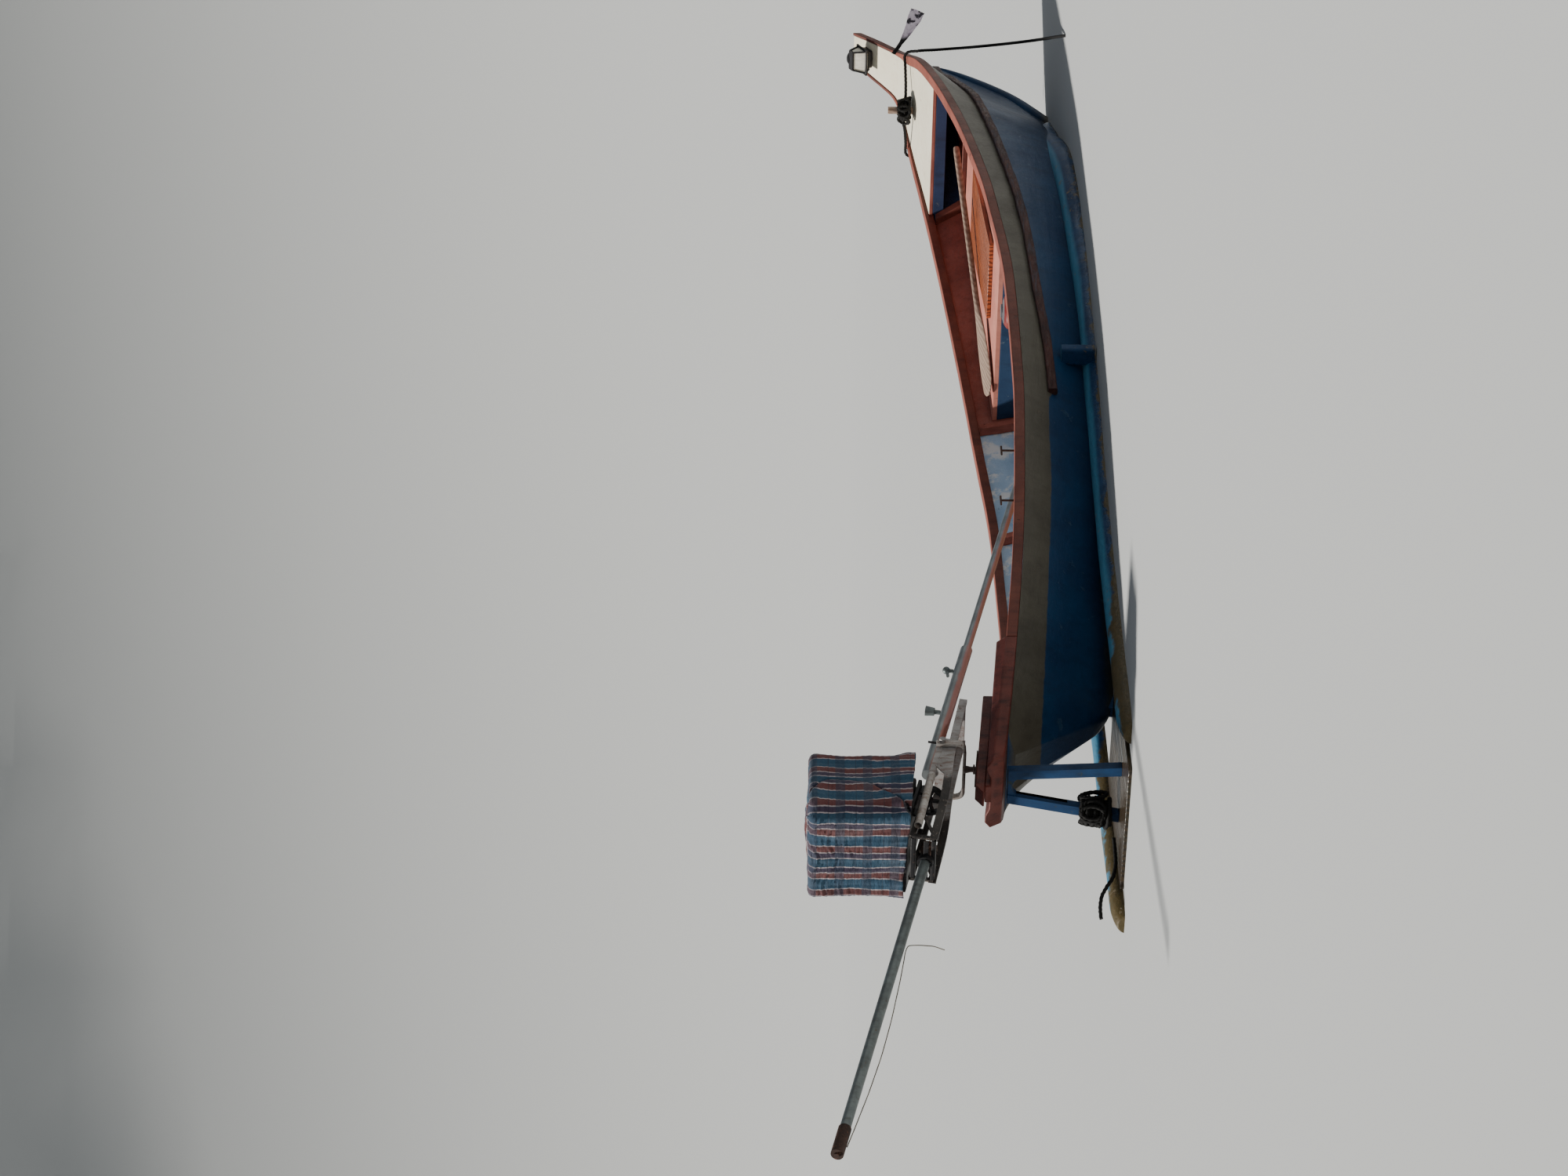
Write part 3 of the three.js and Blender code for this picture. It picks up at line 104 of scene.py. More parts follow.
def eased(x, start, end):
    """From 0 at start to 1 at end, level at both: 3t² - 2t³ of the share t."""
    t = np.clip((np.asarray(x, float) - start) / (end - start), 0, 1)
    return t * t * (3 - 2 * t)


def wander(values, seed, octaves=4):
    """A soft random function of one number, from -1 to 1: a sum of sines whose pitch doubles and strength halves."""
    rng = np.random.default_rng(seed)
    values = np.asarray(values, float)
    total = np.zeros(values.shape)
    for octave in range(octaves):
        total += np.sin(values * 2.0 ** octave * rng.uniform(0.8, 1.2) + rng.uniform(0, 6.28)) * 0.5 ** octave
    return total / 1.9


# %% A mesh from a grid of points
def mesh_object(name, points, faces, caps=()):
    """Points (n, 3), four-cornered faces (m, 4) and a few many-cornered caps become one mesh object, smooth up to
    a 35 degree fold. A closed mesh whose volume comes out negative is inside out, so its faces are turned."""
    loops = [np.asarray(faces).reshape(-1)] + [np.asarray(cap) for cap in caps]
    totals = np.concatenate([np.full(len(faces), 4), [len(cap) for cap in caps]]).astype(np.int64)
    flat = np.concatenate(loops)
    starts = np.concatenate([[0], np.cumsum(totals)[:-1]])
    mesh = bpy.data.meshes.new(name)
    mesh.vertices.add(len(points))
    mesh.vertices.foreach_set("co", np.asarray(points, np.float32).ravel())
    mesh.loops.add(len(flat))
    mesh.polygons.add(len(totals))
    mesh.polygons.foreach_set("loop_start", starts.astype(np.int32))
    mesh.loops.foreach_set("vertex_index", flat.astype(np.int32))
    mesh.update(calc_edges=True)
    centre = points.mean(0)
    a, b, c, d = (points[faces[:, k]] - centre for k in range(4))
    volume = np.einsum("ij,ij->i", a, np.cross(b, c)).sum() + np.einsum("ij,ij->i", a, np.cross(c, d)).sum()
    for cap in caps:
        fan = points[np.asarray(cap)] - centre
        volume += np.einsum("j,ij->", fan[0], np.cross(fan[1:-1], fan[2:]))
    if volume < 0:
        mesh.flip_normals()
    mesh.polygons.foreach_set("use_smooth", np.ones(len(totals), bool))
    mesh.set_sharp_from_angle(angle=FOLD)
    mesh.validate()
    made = bpy.data.objects.new(name, mesh)
    bpy.context.scene.collection.objects.link(made)
    return made


def skin(name, grid, ring=True, capped=True):
    """A mesh from rows of points: grid is rows × columns × 3. Face (i, j) joins rows i and i+1 to columns j and j+1.
    With ring the last column joins the first, and capped closes both end rows with one face each."""
    rows, columns = grid.shape[:2]
    i = np.arange(rows - 1)[:, None]
    j = np.arange(columns if ring else columns - 1)[None, :]
    corners = [i * columns + j, i * columns + (j + 1) % columns]
    corners += [corners[1] + columns, corners[0] + columns]
    faces = np.stack(corners, -1).reshape(-1, 4)
    caps = []
    if ring and capped:
        caps = [np.arange(columns)[::-1], (rows - 1) * columns + np.arange(columns)]
    made = mesh_object(name, grid.reshape(-1, 3), faces, caps)
    print(f"{name}: {len(faces)} faces")
    return made


def sweep(name, path, outline, reference):
    """A tube along a path. At each of its points the section's plane is square to the path: one axis is the cross
    product of the path's direction with a reference direction, the other completes the frame.
    outline is points × sides × 2, so the section may change or turn along the way."""
    ahead = unit(np.gradient(path, axis=0))
    side = unit(np.cross(ahead, np.broadcast_to(reference, path.shape)))
    up = np.cross(side, ahead)
    grid = path[:, None] + outline[..., :1] * side[:, None] + outline[..., 1:] * up[:, None]
    return skin(name, grid)


def round_outline(radius, sides=24):
    """A circle of the given radius at each point of a path, sides points round."""
    turn = around(sides)
    circle = np.stack([np.cos(turn), np.sin(turn)], -1)
    return np.atleast_1d(np.asarray(radius, float))[:, None, None] * circle


def superellipse(turn, squareness):
    """cos and sin of an angle, each raised to 2 / squareness with its sign kept: corners tighten as it grows from 2."""
    return [np.sign(wave) * np.abs(wave) ** (2 / squareness) for wave in (np.cos(turn), np.sin(turn))]


def soft_box_outline(half_width, half_height, squareness=5.0, sides=32):
    """A rounded rectangle: a superellipse with no point on its axes."""
    across, high = superellipse(around(sides) + np.pi / sides, squareness)
    return np.stack([half_width * across, half_height * high], -1)


def box_grid(name, low, high, squareness=12.0, steps=2, along=0):
    """A slightly rounded bar along one axis between two corners."""
    low, high = np.asarray(low, float), np.asarray(high, float)
    middle, half = (low + high) / 2, (high - low) / 2
    others = [k for k in range(3) if k != along]
    outline = soft_box_outline(half[others[0]], half[others[1]], squareness, 24)
    grid = np.zeros((steps + 1, 24, 3))
    grid[..., along] = np.linspace(low[along], high[along], steps + 1)[:, None]
    grid[..., others[0]] = middle[others[0]] + outline[:, 0]
    grid[..., others[1]] = middle[others[1]] + outline[:, 1]
    return skin(name, grid)


def points_of(piece):
    """The corner points of a piece's mesh, as rows of x, y, z in metres."""
    flat = np.zeros(len(piece.data.vertices) * 3, np.float32)
    piece.data.vertices.foreach_get("co", flat)
    return flat.reshape(-1, 3)


def set_points(piece, points):
    piece.data.vertices.foreach_set("co", points.astype(np.float32).ravel())
    piece.data.update()
    return piece


def mark_points(piece, name, values, kind="FLOAT"):
    """Writes one number, or one vector, for each point, for a material to read by its name."""
    layer = piece.data.attributes.new(name, kind, "POINT")
    layer.data.foreach_set("value" if kind == "FLOAT" else "vector", np.asarray(values, np.float32).ravel())


def thicken(piece, thickness, offset):
    solid = piece.modifiers.new("thickness", "SOLIDIFY")
    solid.thickness, solid.offset = thickness, offset


def join(name, objects):
    """Several meshes become one object."""
    bpy.ops.object.select_all(action="DESELECT")
    for part in objects:
        part.select_set(True)
    bpy.context.view_layer.objects.active = objects[0]
    bpy.ops.object.join()
    objects[0].name = name
    return objects[0]


# %% [markdown]
# ## Camera
# The photograph lies on its side: the boat's up points to the frame's left. The camera stands 1.45 m above the water,
# about 19 m off the starboard quarter, with a long lens of 90 mm on a 36 mm frame. Its three axes are written down
# rather than aimed at a target, because a small roll matters over seven metres of boat.

# %% Camera
EYE = np.array([-16.49, -9.617, 1.45])
FORWARD = np.array([0.833886, 0.551937, -0.0024])
ROLL = math.radians(0.649)
LENS = 90.0

forward = unit(FORWARD)
level_right = unit(np.cross(forward, [0, 0, 1.0]))
level_up = np.cross(level_right, forward)
boat_right = level_right * math.cos(ROLL) + level_up * math.sin(ROLL)
boat_up = level_up * math.cos(ROLL) - level_right * math.sin(ROLL)

camera_data = bpy.data.cameras.new("camera")
camera_data.lens = LENS
camera_data.sensor_width = 36.0
camera_data.clip_end = 400.0
camera = bpy.data.objects.new("camera", camera_data)
bpy.context.scene.collection.objects.link(camera)
axes = np.eye(4)
axes[:3, 0], axes[:3, 1], axes[:3, 2], axes[:3, 3] = -boat_up, boat_right, -forward, EYE
camera.matrix_world = Matrix(axes.tolist())
bpy.context.scene.camera = camera
print("camera at", EYE.tolist(), "looking along", np.round(forward, 4).tolist())

# %% [markdown]
# ## Floor and light
# The floor is plain and pale and stands in for the water, so it lies at the waterline and hides what is afloat below.
# It curves up far away like a studio sweep, which leaves no horizon line from any side.
# In the photograph the sun is high and a little behind the boat: tops and the far inside wall are lit, and the side
# that faces the camera is in soft shade. One wide sun and a pale sky give that.

# %% Floor
FLAT_TO, RIM_AT, RIM_HEIGHT = 60, 90, 26


def plain_finish(name, colour, roughness=0.7):
    material = bpy.data.materials.new(name)
    material.use_nodes = True
    shader = material.node_tree.nodes["Principled BSDF"]
    shader.inputs["Base Color"].default_value = (*colour, 1)
    shader.inputs["Roughness"].default_value = roughness
    return material


def floor_dish():
    """A disc turned round the z axis: flat at first, then a quarter of an ellipse that rises to its rim."""
    bend = np.linspace(0, np.pi / 2, 24)[1:]
    radius = np.concatenate([[0.01, 6, 20, FLAT_TO], FLAT_TO + (RIM_AT - FLAT_TO) * np.sin(bend)])
    height = np.concatenate([np.zeros(4), RIM_HEIGHT * (1 - np.cos(bend))])
    turn = around(96)
    grid = np.stack(np.broadcast_arrays(
        radius[:, None] * np.cos(turn), radius[:, None] * np.sin(turn), height[:, None]), -1)
    return skin("floor", grid, capped=False)


floor = floor_dish()
floor.data.materials.append(plain_finish("pale_floor", (0.43, 0.44, 0.435), 0.75))

# %% Light
SUN_FROM = np.array([-0.28, 0.47, 0.84])
SUN_STRENGTH, SUN_SPREAD, SKY_STRENGTH = 6.2, math.radians(5), 0.25
sun_data = bpy.data.lights.new("sun", "SUN")
sun_data.energy = SUN_STRENGTH
sun_data.angle = SUN_SPREAD
sun_data.color = (1.0, 0.965, 0.91)
sun = bpy.data.objects.new("sun", sun_data)
sun.rotation_mode = "QUATERNION"
sun.rotation_quaternion = Vector(SUN_FROM.tolist()).to_track_quat("Z", "Y")
bpy.context.scene.collection.objects.link(sun)
world = bpy.data.worlds.new("sky")
bpy.context.scene.world = world
world.use_nodes = True
world.node_tree.nodes["Background"].inputs["Color"].default_value = (0.80, 0.88, 1.0, 1)
world.node_tree.nodes["Background"].inputs["Strength"].default_value = SKY_STRENGTH
print("sun from", SUN_FROM.tolist())

# %% [markdown]
# ## Finishes
# Everything here is old: paint that has chipped and stained, wet timber, rusty steel, salt-bleached rope.
# The pattern of that ageing is the same everywhere and only its strength and colours differ, so it is built once as
# node groups that give masks: where paint has chipped, where it is stained, how its tone wanders, and how it stands
# up. Each material mixes its own colours with them. Patterns are read from Object coordinates, in metres.

# %% Colours and small node helpers
def srgb(red, green, blue):
    """A colour written as it looks on a screen, from 0 to 255, as the light values that a shader wants."""
    value = np.array([red, green, blue]) / 255
    return (*np.where(value <= 0.04045, value / 12.92, ((value + 0.055) / 1.055) ** 2.4).tolist(), 1.0)


class Tree:
    """Short calls for adding nodes to one node tree: each returns an output socket."""

    def __init__(self, tree):
        self.tree = tree

    def node(self, kind, inputs=(), **settings):
        made = self.tree.nodes.new(kind)
        for key, value in settings.items():
            setattr(made, key, value)
        for key, value in dict(inputs).items():
            if isinstance(value, bpy.types.NodeSocket):
                self.tree.links.new(value, made.inputs[key])
            elif value is not None:
                made.inputs[key].default_value = value
        return made

    def noise(self, vector, scale, detail=6.0, roughness=0.6, distortion=0.0):
        return self.node("ShaderNodeTexNoise", {
            "Vector": vector, "Scale": scale, "Detail": detail, "Roughness": roughness, "Distortion": distortion,
        }).outputs["Fac"]

    def math(self, operation, a, b=0.0):
        return self.node("ShaderNodeMath", {0: a, 1: b}, operation=operation).outputs[0]

    def times(self, a, b):
        return self.math("MULTIPLY", a, b)

    def plus(self, a, b):
        return self.math("ADD", a, b)

    def minus(self, a, b):
        return self.math("SUBTRACT", a, b)

    def between(self, value, low, high, out_low=0.0, out_high=1.0):
        return self.node("ShaderNodeMapRange", {
            "Value": value, "From Min": low, "From Max": high, "To Min": out_low, "To Max": out_high,
        }, interpolation_type="SMOOTHSTEP").outputs["Result"]

    def mix(self, share, a, b):
        """Colour a turning into colour b as share goes from 0 to 1. A colour is a socket or screen values."""
        a, b = (value if isinstance(value, bpy.types.NodeSocket) else srgb(*value) for value in (a, b))
        return self.node("ShaderNodeMix", {0: share, 6: a, 7: b}, data_type="RGBA").outputs[2]

    def axis(self, vector, name):
        return self.node("ShaderNodeSeparateXYZ", {0: vector}).outputs[name]

    def facing_up(self):
        return self.axis(self.node("ShaderNodeNewGeometry").outputs["Normal"], "Z")

    def attribute(self, name, output="Fac"):
        return self.node("ShaderNodeAttribute", attribute_name=name).outputs[output]

    def scaled(self, vector, scale):
        return self.node("ShaderNodeMapping", {"Vector": vector, "Scale": scale}).outputs["Vector"]


def new_group(name, inputs, outputs):
    """A shader group with float inputs, each with a default, and float outputs. The vector comes in first."""
    tree = bpy.data.node_groups.new(name, "ShaderNodeTree")
    tree.interface.new_socket("Vector", in_out="INPUT", socket_type="NodeSocketVector")
    for label, value in inputs.items():
        tree.interface.new_socket(label, in_out="INPUT", socket_type="NodeSocketFloat").default_value = value
    for label in outputs:
        tree.interface.new_socket(label, in_out="OUTPUT", socket_type="NodeSocketFloat")
    return tree, tree.nodes.new("NodeGroupInput").outputs, tree.nodes.new("NodeGroupOutput").inputs, Tree(tree)


# %% Group: weathered paint
weathering, given, out, t = new_group(
    "weathering", {"Scale": 1.0, "Chips": 0.3, "Stains": 0.3}, ["Tone", "Chips", "Stains", "Height"])
place = t.node("ShaderNodeVectorMath", {0: given["Vector"], "Scale": given["Scale"]}, operation="SCALE").outputs[0]
broad = t.noise(place, 2.2, 5, 0.6)
fine = t.noise(place, 46, 8, 0.7)
flakes = t.noise(place, 11, 9, 0.72, 0.4)
runs = t.noise(t.scaled(place, (1.0, 1.0, 0.22)), 13, 6, 0.65)
chip_edge = t.minus(0.74, t.times(given["Chips"], 0.34))
chips = t.between(t.minus(t.plus(flakes, t.times(broad, 0.25)), chip_edge), 0.08, 0.12)
t.tree.links.new(t.between(broad, 0.3, 0.7), out["Tone"])
t.tree.links.new(chips, out["Chips"])
t.tree.links.new(t.times(t.between(runs, 0.45, 0.75), given["Stains"]), out["Stains"])
t.tree.links.new(t.minus(t.plus(t.times(fine, 0.5), t.times(broad, 0.5)), t.times(chips, 0.45)), out["Height"])
print("group", weathering.name)

# %% Group: wood grain
wood_grain, given, out, t = new_group("wood_grain", {"Scale": 1.0, "Wear": 0.3}, ["Grain", "Dark", "Height"])
place = t.node("ShaderNodeVectorMath", {0: given["Vector"], "Scale": given["Scale"]}, operation="SCALE").outputs[0]
drawn_out = t.scaled(place, (1.4, 24.0, 24.0))
streaks = t.noise(drawn_out, 2.0, 9, 0.7, 0.6)
rings = t.node("ShaderNodeTexWave", {"Vector": t.scaled(place, (0.5, 7.0, 7.0)), "Scale": 1.6, "Distortion": 7.0,
                                     "Detail": 4.0, "Detail Scale": 1.2}, bands_direction="Y").outputs["Fac"]
grain = t.plus(t.times(streaks, 0.6), t.times(rings, 0.4))
t.tree.links.new(grain, out["Grain"])
t.tree.links.new(t.times(t.between(t.noise(place, 6, 7, 0.7), 0.5, 0.72), given["Wear"]), out["Dark"])
t.tree.links.new(grain, out["Height"])
print("group", wood_grain.name)

# %% Materials from the groups
def new_material(name, metallic=0.0):
    material = bpy.data.materials.new(name)
    material.use_nodes = True
    t = Tree(material.node_tree)
    shader = material.node_tree.nodes["Principled BSDF"]
    shader.inputs["Metallic"].default_value = metallic
    shader.inputs["Specular IOR Level"].default_value = 0.28
    return material, t, shader, t.node("ShaderNodeTexCoord").outputs["Object"]


def group_node(t, tree, vector, **values):
    made = t.node("ShaderNodeGroup", node_tree=tree)
    t.tree.links.new(vector, made.inputs["Vector"])
    for label, value in values.items():
        made.inputs[label].default_value = value
    return made.outputs


def surface(t, shader, colour, rough, height, strength, distance):
    """Wires a material's finished patterns: colour, roughness, and bump of a strength and a depth in metres.
    Roughness is a socket, or a pair that it takes from the lowest to the highest of the height."""
    if isinstance(rough, tuple):
        rough = t.between(height, 0.2, 0.8, *rough)
    relief = t.node("ShaderNodeBump", {"Height": height, "Strength": strength, "Distance": distance})
    for socket, name in ((colour, "Base Color"), (rough, "Roughness"), (relief.outputs["Normal"], "Normal")):
        t.tree.links.new(socket, shader.inputs[name])


def aged_colour(t, masks, base, tone, stain=None, chip=None):
    """Paint whose base wanders to tone, with stains and chips of their own colours where they are given."""
    colour = t.mix(masks["Tone"], base, tone)
    for mask, patch in (("Stains", stain), ("Chips", chip)):
        colour = t.mix(masks[mask], colour, patch) if patch else colour
    return colour


def aged(name, base, tone, chip, stain, scale=1.0, chips=0.3, stains=0.3, roughness=(0.45, 0.75), metallic=0.0,
         strength=0.35, distance=0.004, sunlit_top=None):
    """Painted or bare surface: base wanders to tone, chips show what is under it, stains run down it.

    A paler colour takes over where the surface faces the sky: painted sunlight on the lit tops.
    """
    material, t, shader, place = new_material(name, metallic)
    masks = group_node(t, weathering, place, Scale=scale, Chips=chips, Stains=stains)
    colour = aged_colour(t, masks, base, tone, stain)
    if sunlit_top:
        patchy = t.between(t.noise(place, 5, 5, 0.6), 0.3, 0.6, 0.5, 0.9)
        colour = t.mix(t.times(t.between(t.facing_up(), 0.8, 0.97), patchy), colour, sunlit_top)
    colour = t.mix(masks["Chips"], colour, chip)
    rough = t.plus(t.between(masks["Height"], 0.2, 0.8, *roughness), t.times(masks["Chips"], 0.15))
    surface(t, shader, colour, rough, masks["Height"], strength, distance)
    return material


def timber(name, light, dark, worn, scale=1.0, wear=0.3, roughness=(0.4, 0.7), strength=0.3):
    """Bare or varnished wood with its grain along x."""
    material, t, shader, place = new_material(name)
    masks = group_node(t, wood_grain, place, Scale=scale, Wear=wear)
    colour = t.mix(t.between(masks["Grain"], 0.3, 0.75), light, dark)
    colour = t.mix(masks["Dark"], colour, worn)
    rough = t.between(masks["Grain"], 0.2, 0.8, *roughness)
    surface(t, shader, colour, rough, masks["Height"], strength, 0.003)
    return material


# The gunwale paint turns paler where it faces the sky: painted sunlight on its tops, over a base in shaded colour.
terracotta = aged("terracotta_paint", (108, 56, 44), (84, 42, 34), (64, 38, 32), (56, 32, 28), 1.6, 0.2, 0.7,
                  (0.42, 0.7), strength=0.6, sunlit_top=(150, 86, 72))
stern_red = aged("stern_red", (104, 50, 42), (72, 34, 30), (50, 28, 26), (44, 22, 22), 2.2, 0.12, 0.9,
                 (0.42, 0.7), strength=0.8)
terracotta_wall = aged("terracotta_wall", (164, 94, 80), (132, 68, 56), (110, 70, 62), (98, 50, 44), 1.5, 0.2, 0.55,
                       (0.6, 0.85), strength=0.9, distance=0.012)
floor_paint = aged("floor_paint", (200, 132, 116), (182, 112, 98), (146, 112, 98), (140, 92, 80), 1.8, 0.25, 0.35)
cream = aged("cream_paint", (240, 233, 212), (228, 220, 196), (186, 168, 140), (206, 190, 160), 1.5, 0.16, 0.3,
             (0.35, 0.6), strength=0.25)
leg_blue = aged("blue_paint", (16, 58, 98), (10, 40, 74), (34, 50, 58), (12, 30, 48), 2.0, 0.25, 0.6)
riser_blue = aged("riser_blue", (46, 72, 104), (32, 56, 88), (88, 106, 120), (28, 44, 66), 1.6, 0.2, 0.6)
# Painted shade: the deck beam takes this dark blue, the colour of the shadow under the foredeck, instead of its
# terracotta.
beam_shade_blue = aged("beam_shade_blue_paint", (40, 58, 92), (28, 42, 70), (70, 76, 84), (20, 26, 40), 1.5, 0.2, 0.5)
galvanised = aged("galvanised_steel", (108, 116, 116), (84, 90, 90), (84, 70, 60), (70, 68, 64), 5.0, 0.22, 0.6,
                  (0.34, 0.6), metallic=0.55, strength=0.3, distance=0.001)
rust = aged("rusty_steel", (66, 46, 38), (46, 35, 31), (98, 60, 40), (34, 27, 25), 7.0, 0.35, 0.6, (0.6, 0.9),
            metallic=0.2, strength=0.7, distance=0.002)
black_iron = aged("black_iron", (30, 30, 32), (20, 20, 22), (74, 50, 38), (40, 36, 34), 6.0, 0.25, 0.5, (0.35, 0.7),
                  metallic=0.3, strength=0.5, distance=0.002)
lantern_black = aged("lantern_black", (34, 34, 36), (22, 22, 24), (96, 70, 54), (60, 54, 50), 8.0, 0.25, 0.4,
                     (0.35, 0.6), metallic=0.2, strength=0.3, distance=0.001)


def frame_finish():
    """Off-white paint with rust at its edges near the pivot; further aft it is lost under grime and bare iron."""
    material, t, shader, place = new_material("frame_paint", 0.1)
    masks = group_node(t, weathering, place, Scale=5.0, Chips=0.3, Stains=0.9)
    colour = aged_colour(t, masks, (150, 148, 146), (120, 116, 114), (104, 80, 70), (88, 54, 42))
    dark = aged_colour(t, masks, (50, 44, 40), (30, 27, 26), chip=(104, 92, 82))
    ragged = t.plus(t.axis(place, "X"), t.times(t.noise(place, 22, 6, 0.7), 0.14))
    colour = t.mix(t.between(ragged, -3.47, -3.40, 1.0, 0.0), colour, dark)
    surface(t, shader, colour, (0.35, 0.7), masks["Height"], 0.5, 0.002)
    return material


def handle_finish():
    """Grey steel tube, rubbed bright above; its underside carries a terracotta bloom of old paint and rust."""
    material, t, shader, place = new_material("handle_steel", 0.45)
    masks = group_node(t, weathering, place, Scale=4.0, Chips=0.2, Stains=0.4)
    colour = aged_colour(t, masks, (124, 130, 130), (100, 104, 106), chip=(120, 98, 88))
    under = t.between(t.plus(t.facing_up(), t.times(t.noise(place, 20, 5, 0.7), 0.5)), -0.15, 0.25, 0.8, 0.0)
    colour = t.mix(under, colour, (168, 104, 86))
    surface(t, shader, colour, (0.3, 0.5), masks["Height"], 0.25, 0.001)
    return material


frame_paint = frame_finish()
handle_steel = handle_finish()
wet_timber = timber("wet_timber", (62, 50, 35), (36, 29, 21), (34, 37, 24), 1.0, 0.8, (0.15, 0.5), 0.6)
varnished = timber("varnished_timber", (172, 96, 60), (92, 44, 26), (66, 34, 22), 1.3, 0.6, (0.18, 0.4), 0.3)
grey_wood = timber("grey_timber", (160, 138, 122), (132, 110, 96), (112, 88, 76), 1.6, 0.6, (0.6, 0.85), 0.5)
sole_wood = timber("sole_timber", (150, 128, 104), (108, 88, 68), (80, 70, 58), 1.2, 0.6, (0.5, 0.8), 0.5)
print(len(bpy.data.materials), "materials so far")

# %% [markdown]
# ## Ropes and cords
# The mooring ropes are three-strand, black with salt, and about 18 mm thick. A rope's surface is a circle with three
# rounded lobes that turn as they go along, which is exactly how strands are laid, so no separate strands are needed.
# A plain curve with a bevel would be quicker, but it would look like a hose. Each rope starts where the object lets
# it go: at the turns on the mooring post, or at the turns on the port leg.

# %% Rope surface
ROPE_RADIUS = 9 * MM
ROPE_LAY = 0.062
KNOT_RADIUS = 19 * MM


def rope_outline(count, length, radius=ROPE_RADIUS, lay=ROPE_LAY, sides=18, strands=3):
    """Section of a laid rope at count places: the radius is 0.86 + 0.14 cos(strands × angle) of its full size, and
    the lobes have turned by one full turn for each lay length that the rope has run."""
    run = np.linspace(0, length, count)[:, None]
    turn = around(sides)[None, :]
    size = radius * (0.86 + 0.14 * np.cos(strands * (turn - 2 * np.pi * run / lay)))
    return np.stack([size * np.cos(turn), size * np.sin(turn)], -1)


def rope(name, points, reference):
    """A laid rope along a smooth line through the points, with a ring about every 8 mm. Its path is kept too."""
    count = max(12, int(path_length(smooth_path(points, 400)) / 0.008))
    path = smooth_path(points, count)
    made = sweep(name, path, rope_outline(count, path_length(path)), reference)
    print(f"  {name} is {path_length(path):.3f} m long")
    return made, path


def rope_finish():
    """Black fibre: strands a little lighter where they are rubbed, with fine fuzz that runs along the lay."""
    material, t, shader, place = new_material("black_rope")
    fuzz = t.noise(place, 260, 4, 0.7)
    salt = t.noise(place, 14, 6, 0.65)
    colour = t.mix(t.between(fuzz, 0.35, 0.75), (9, 9, 9), (27, 25, 23))
    colour = t.mix(t.between(salt, 0.62, 0.8), colour, (48, 45, 40))
    surface(t, shader, colour, t.between(fuzz, 0.2, 0.8, 0.7, 0.95), fuzz, 0.6, 0.002)
    return material


rope_black = rope_finish()


def finished(piece, material, body, slot, *replaced):
    """Gives a new piece its material and body, and the solids it stands for. The slot is not used."""
    piece.data.materials.clear()
    piece.data.materials.append(material)
    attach(piece, body)
    if replaced:
        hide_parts(*replaced)
    return piece


# %% Mooring ropes over the bow
BOW_ROPE_STARBOARD = np.array([
    [2818, -66, 766], [2838, -104, 766], [2870, -162, 768], [2898, -216, 771], [2914, -250, 774], [2916, -276, 762],
    [2896, -297, 702], [2831, -335, 620], [2743, -386, 530], [2631, -450, 428], [2456, -548, 318], [2256, -659, 214],
    [1993, -806, 98], [1731, -951, 6], [1692, -972, -20],
]) * MM
BOW_ROPE_PORT = np.array([
    [2766, 78, 776], [2776, 112, 768], [2792, 170, 762], [2808, 230, 758], [2822, 262, 758], [2832, 290, 756],
    [2838, 310, 742], [2841, 320, 712], [2842, 325, 670], [2842, 328, 630], [2842, 329, 590],
]) * MM


def knot(name, centre, radius, axis):
    """Two rope turns crossed through each other: a trefoil, (2 + cos 3s) round the axis at an angle of 2s."""
    s = np.linspace(0, 2 * np.pi, 121)
    loop = np.stack([(2 + np.cos(3 * s)) * np.cos(2 * s), (2 + np.cos(3 * s)) * np.sin(2 * s), np.sin(3 * s)], 1)
    path = loop * radius / 3.6
    ahead = unit(np.asarray(axis, float))
    side = unit(np.cross(ahead, [0.3, 0.9, 0.31]))
    path = path @ np.stack([side, np.cross(ahead, side), ahead])
    outward = unit(path + 1e-6)
    tangent = unit(np.gradient(path, axis=0))
    tangent[[0, -1]] = unit(path[1] - path[-2])
    across = unit(np.cross(tangent, outward))
    up = np.cross(across, tangent)
    lobes = rope_outline(len(s), path_length(path), radius * 0.40, path_length(path) / 9)
    grid = path[:, None] + lobes[..., :1] * across[:, None] + lobes[..., 1:] * up[:, None] + np.asarray(centre)
    grid[-1] = grid[0]
    return skin(name, grid)


def mooring_rope(name, route, reference, solid, knot_name, knot_solid):
    """A rope that leaves the post over a gunwale, with a knot at its free end."""
    made, path = rope(name, route, reference)
    ahead = unit(path[-1] - path[-2])
    end_knot = knot(knot_name, path[-1] + ahead * KNOT_RADIUS, KNOT_RADIUS, ahead)
    finished(made, rope_black, "hull", "black_rope", solid)
    finished(end_knot, rope_black, "hull", "black_rope", knot_solid)


mooring_rope("bow_rope", BOW_ROPE_STARBOARD, (0.7, 0.7, -0.1), "bow_rope_starboard",
             "bow_rope_end_knot", "bow_rope_knot")
mooring_rope("bow_rope_inboard_end", BOW_ROPE_PORT, (0.9, 0.1, -0.2), "bow_rope_port",
             "bow_rope_inboard_knot", "bow_rope_port_knot")

# %% [markdown]
# The turns on the post and on the leg are windings: a helix whose radius wanders a little, so that turns cross over
# each other, with a few slack loops that hang away from it as wet rope does.

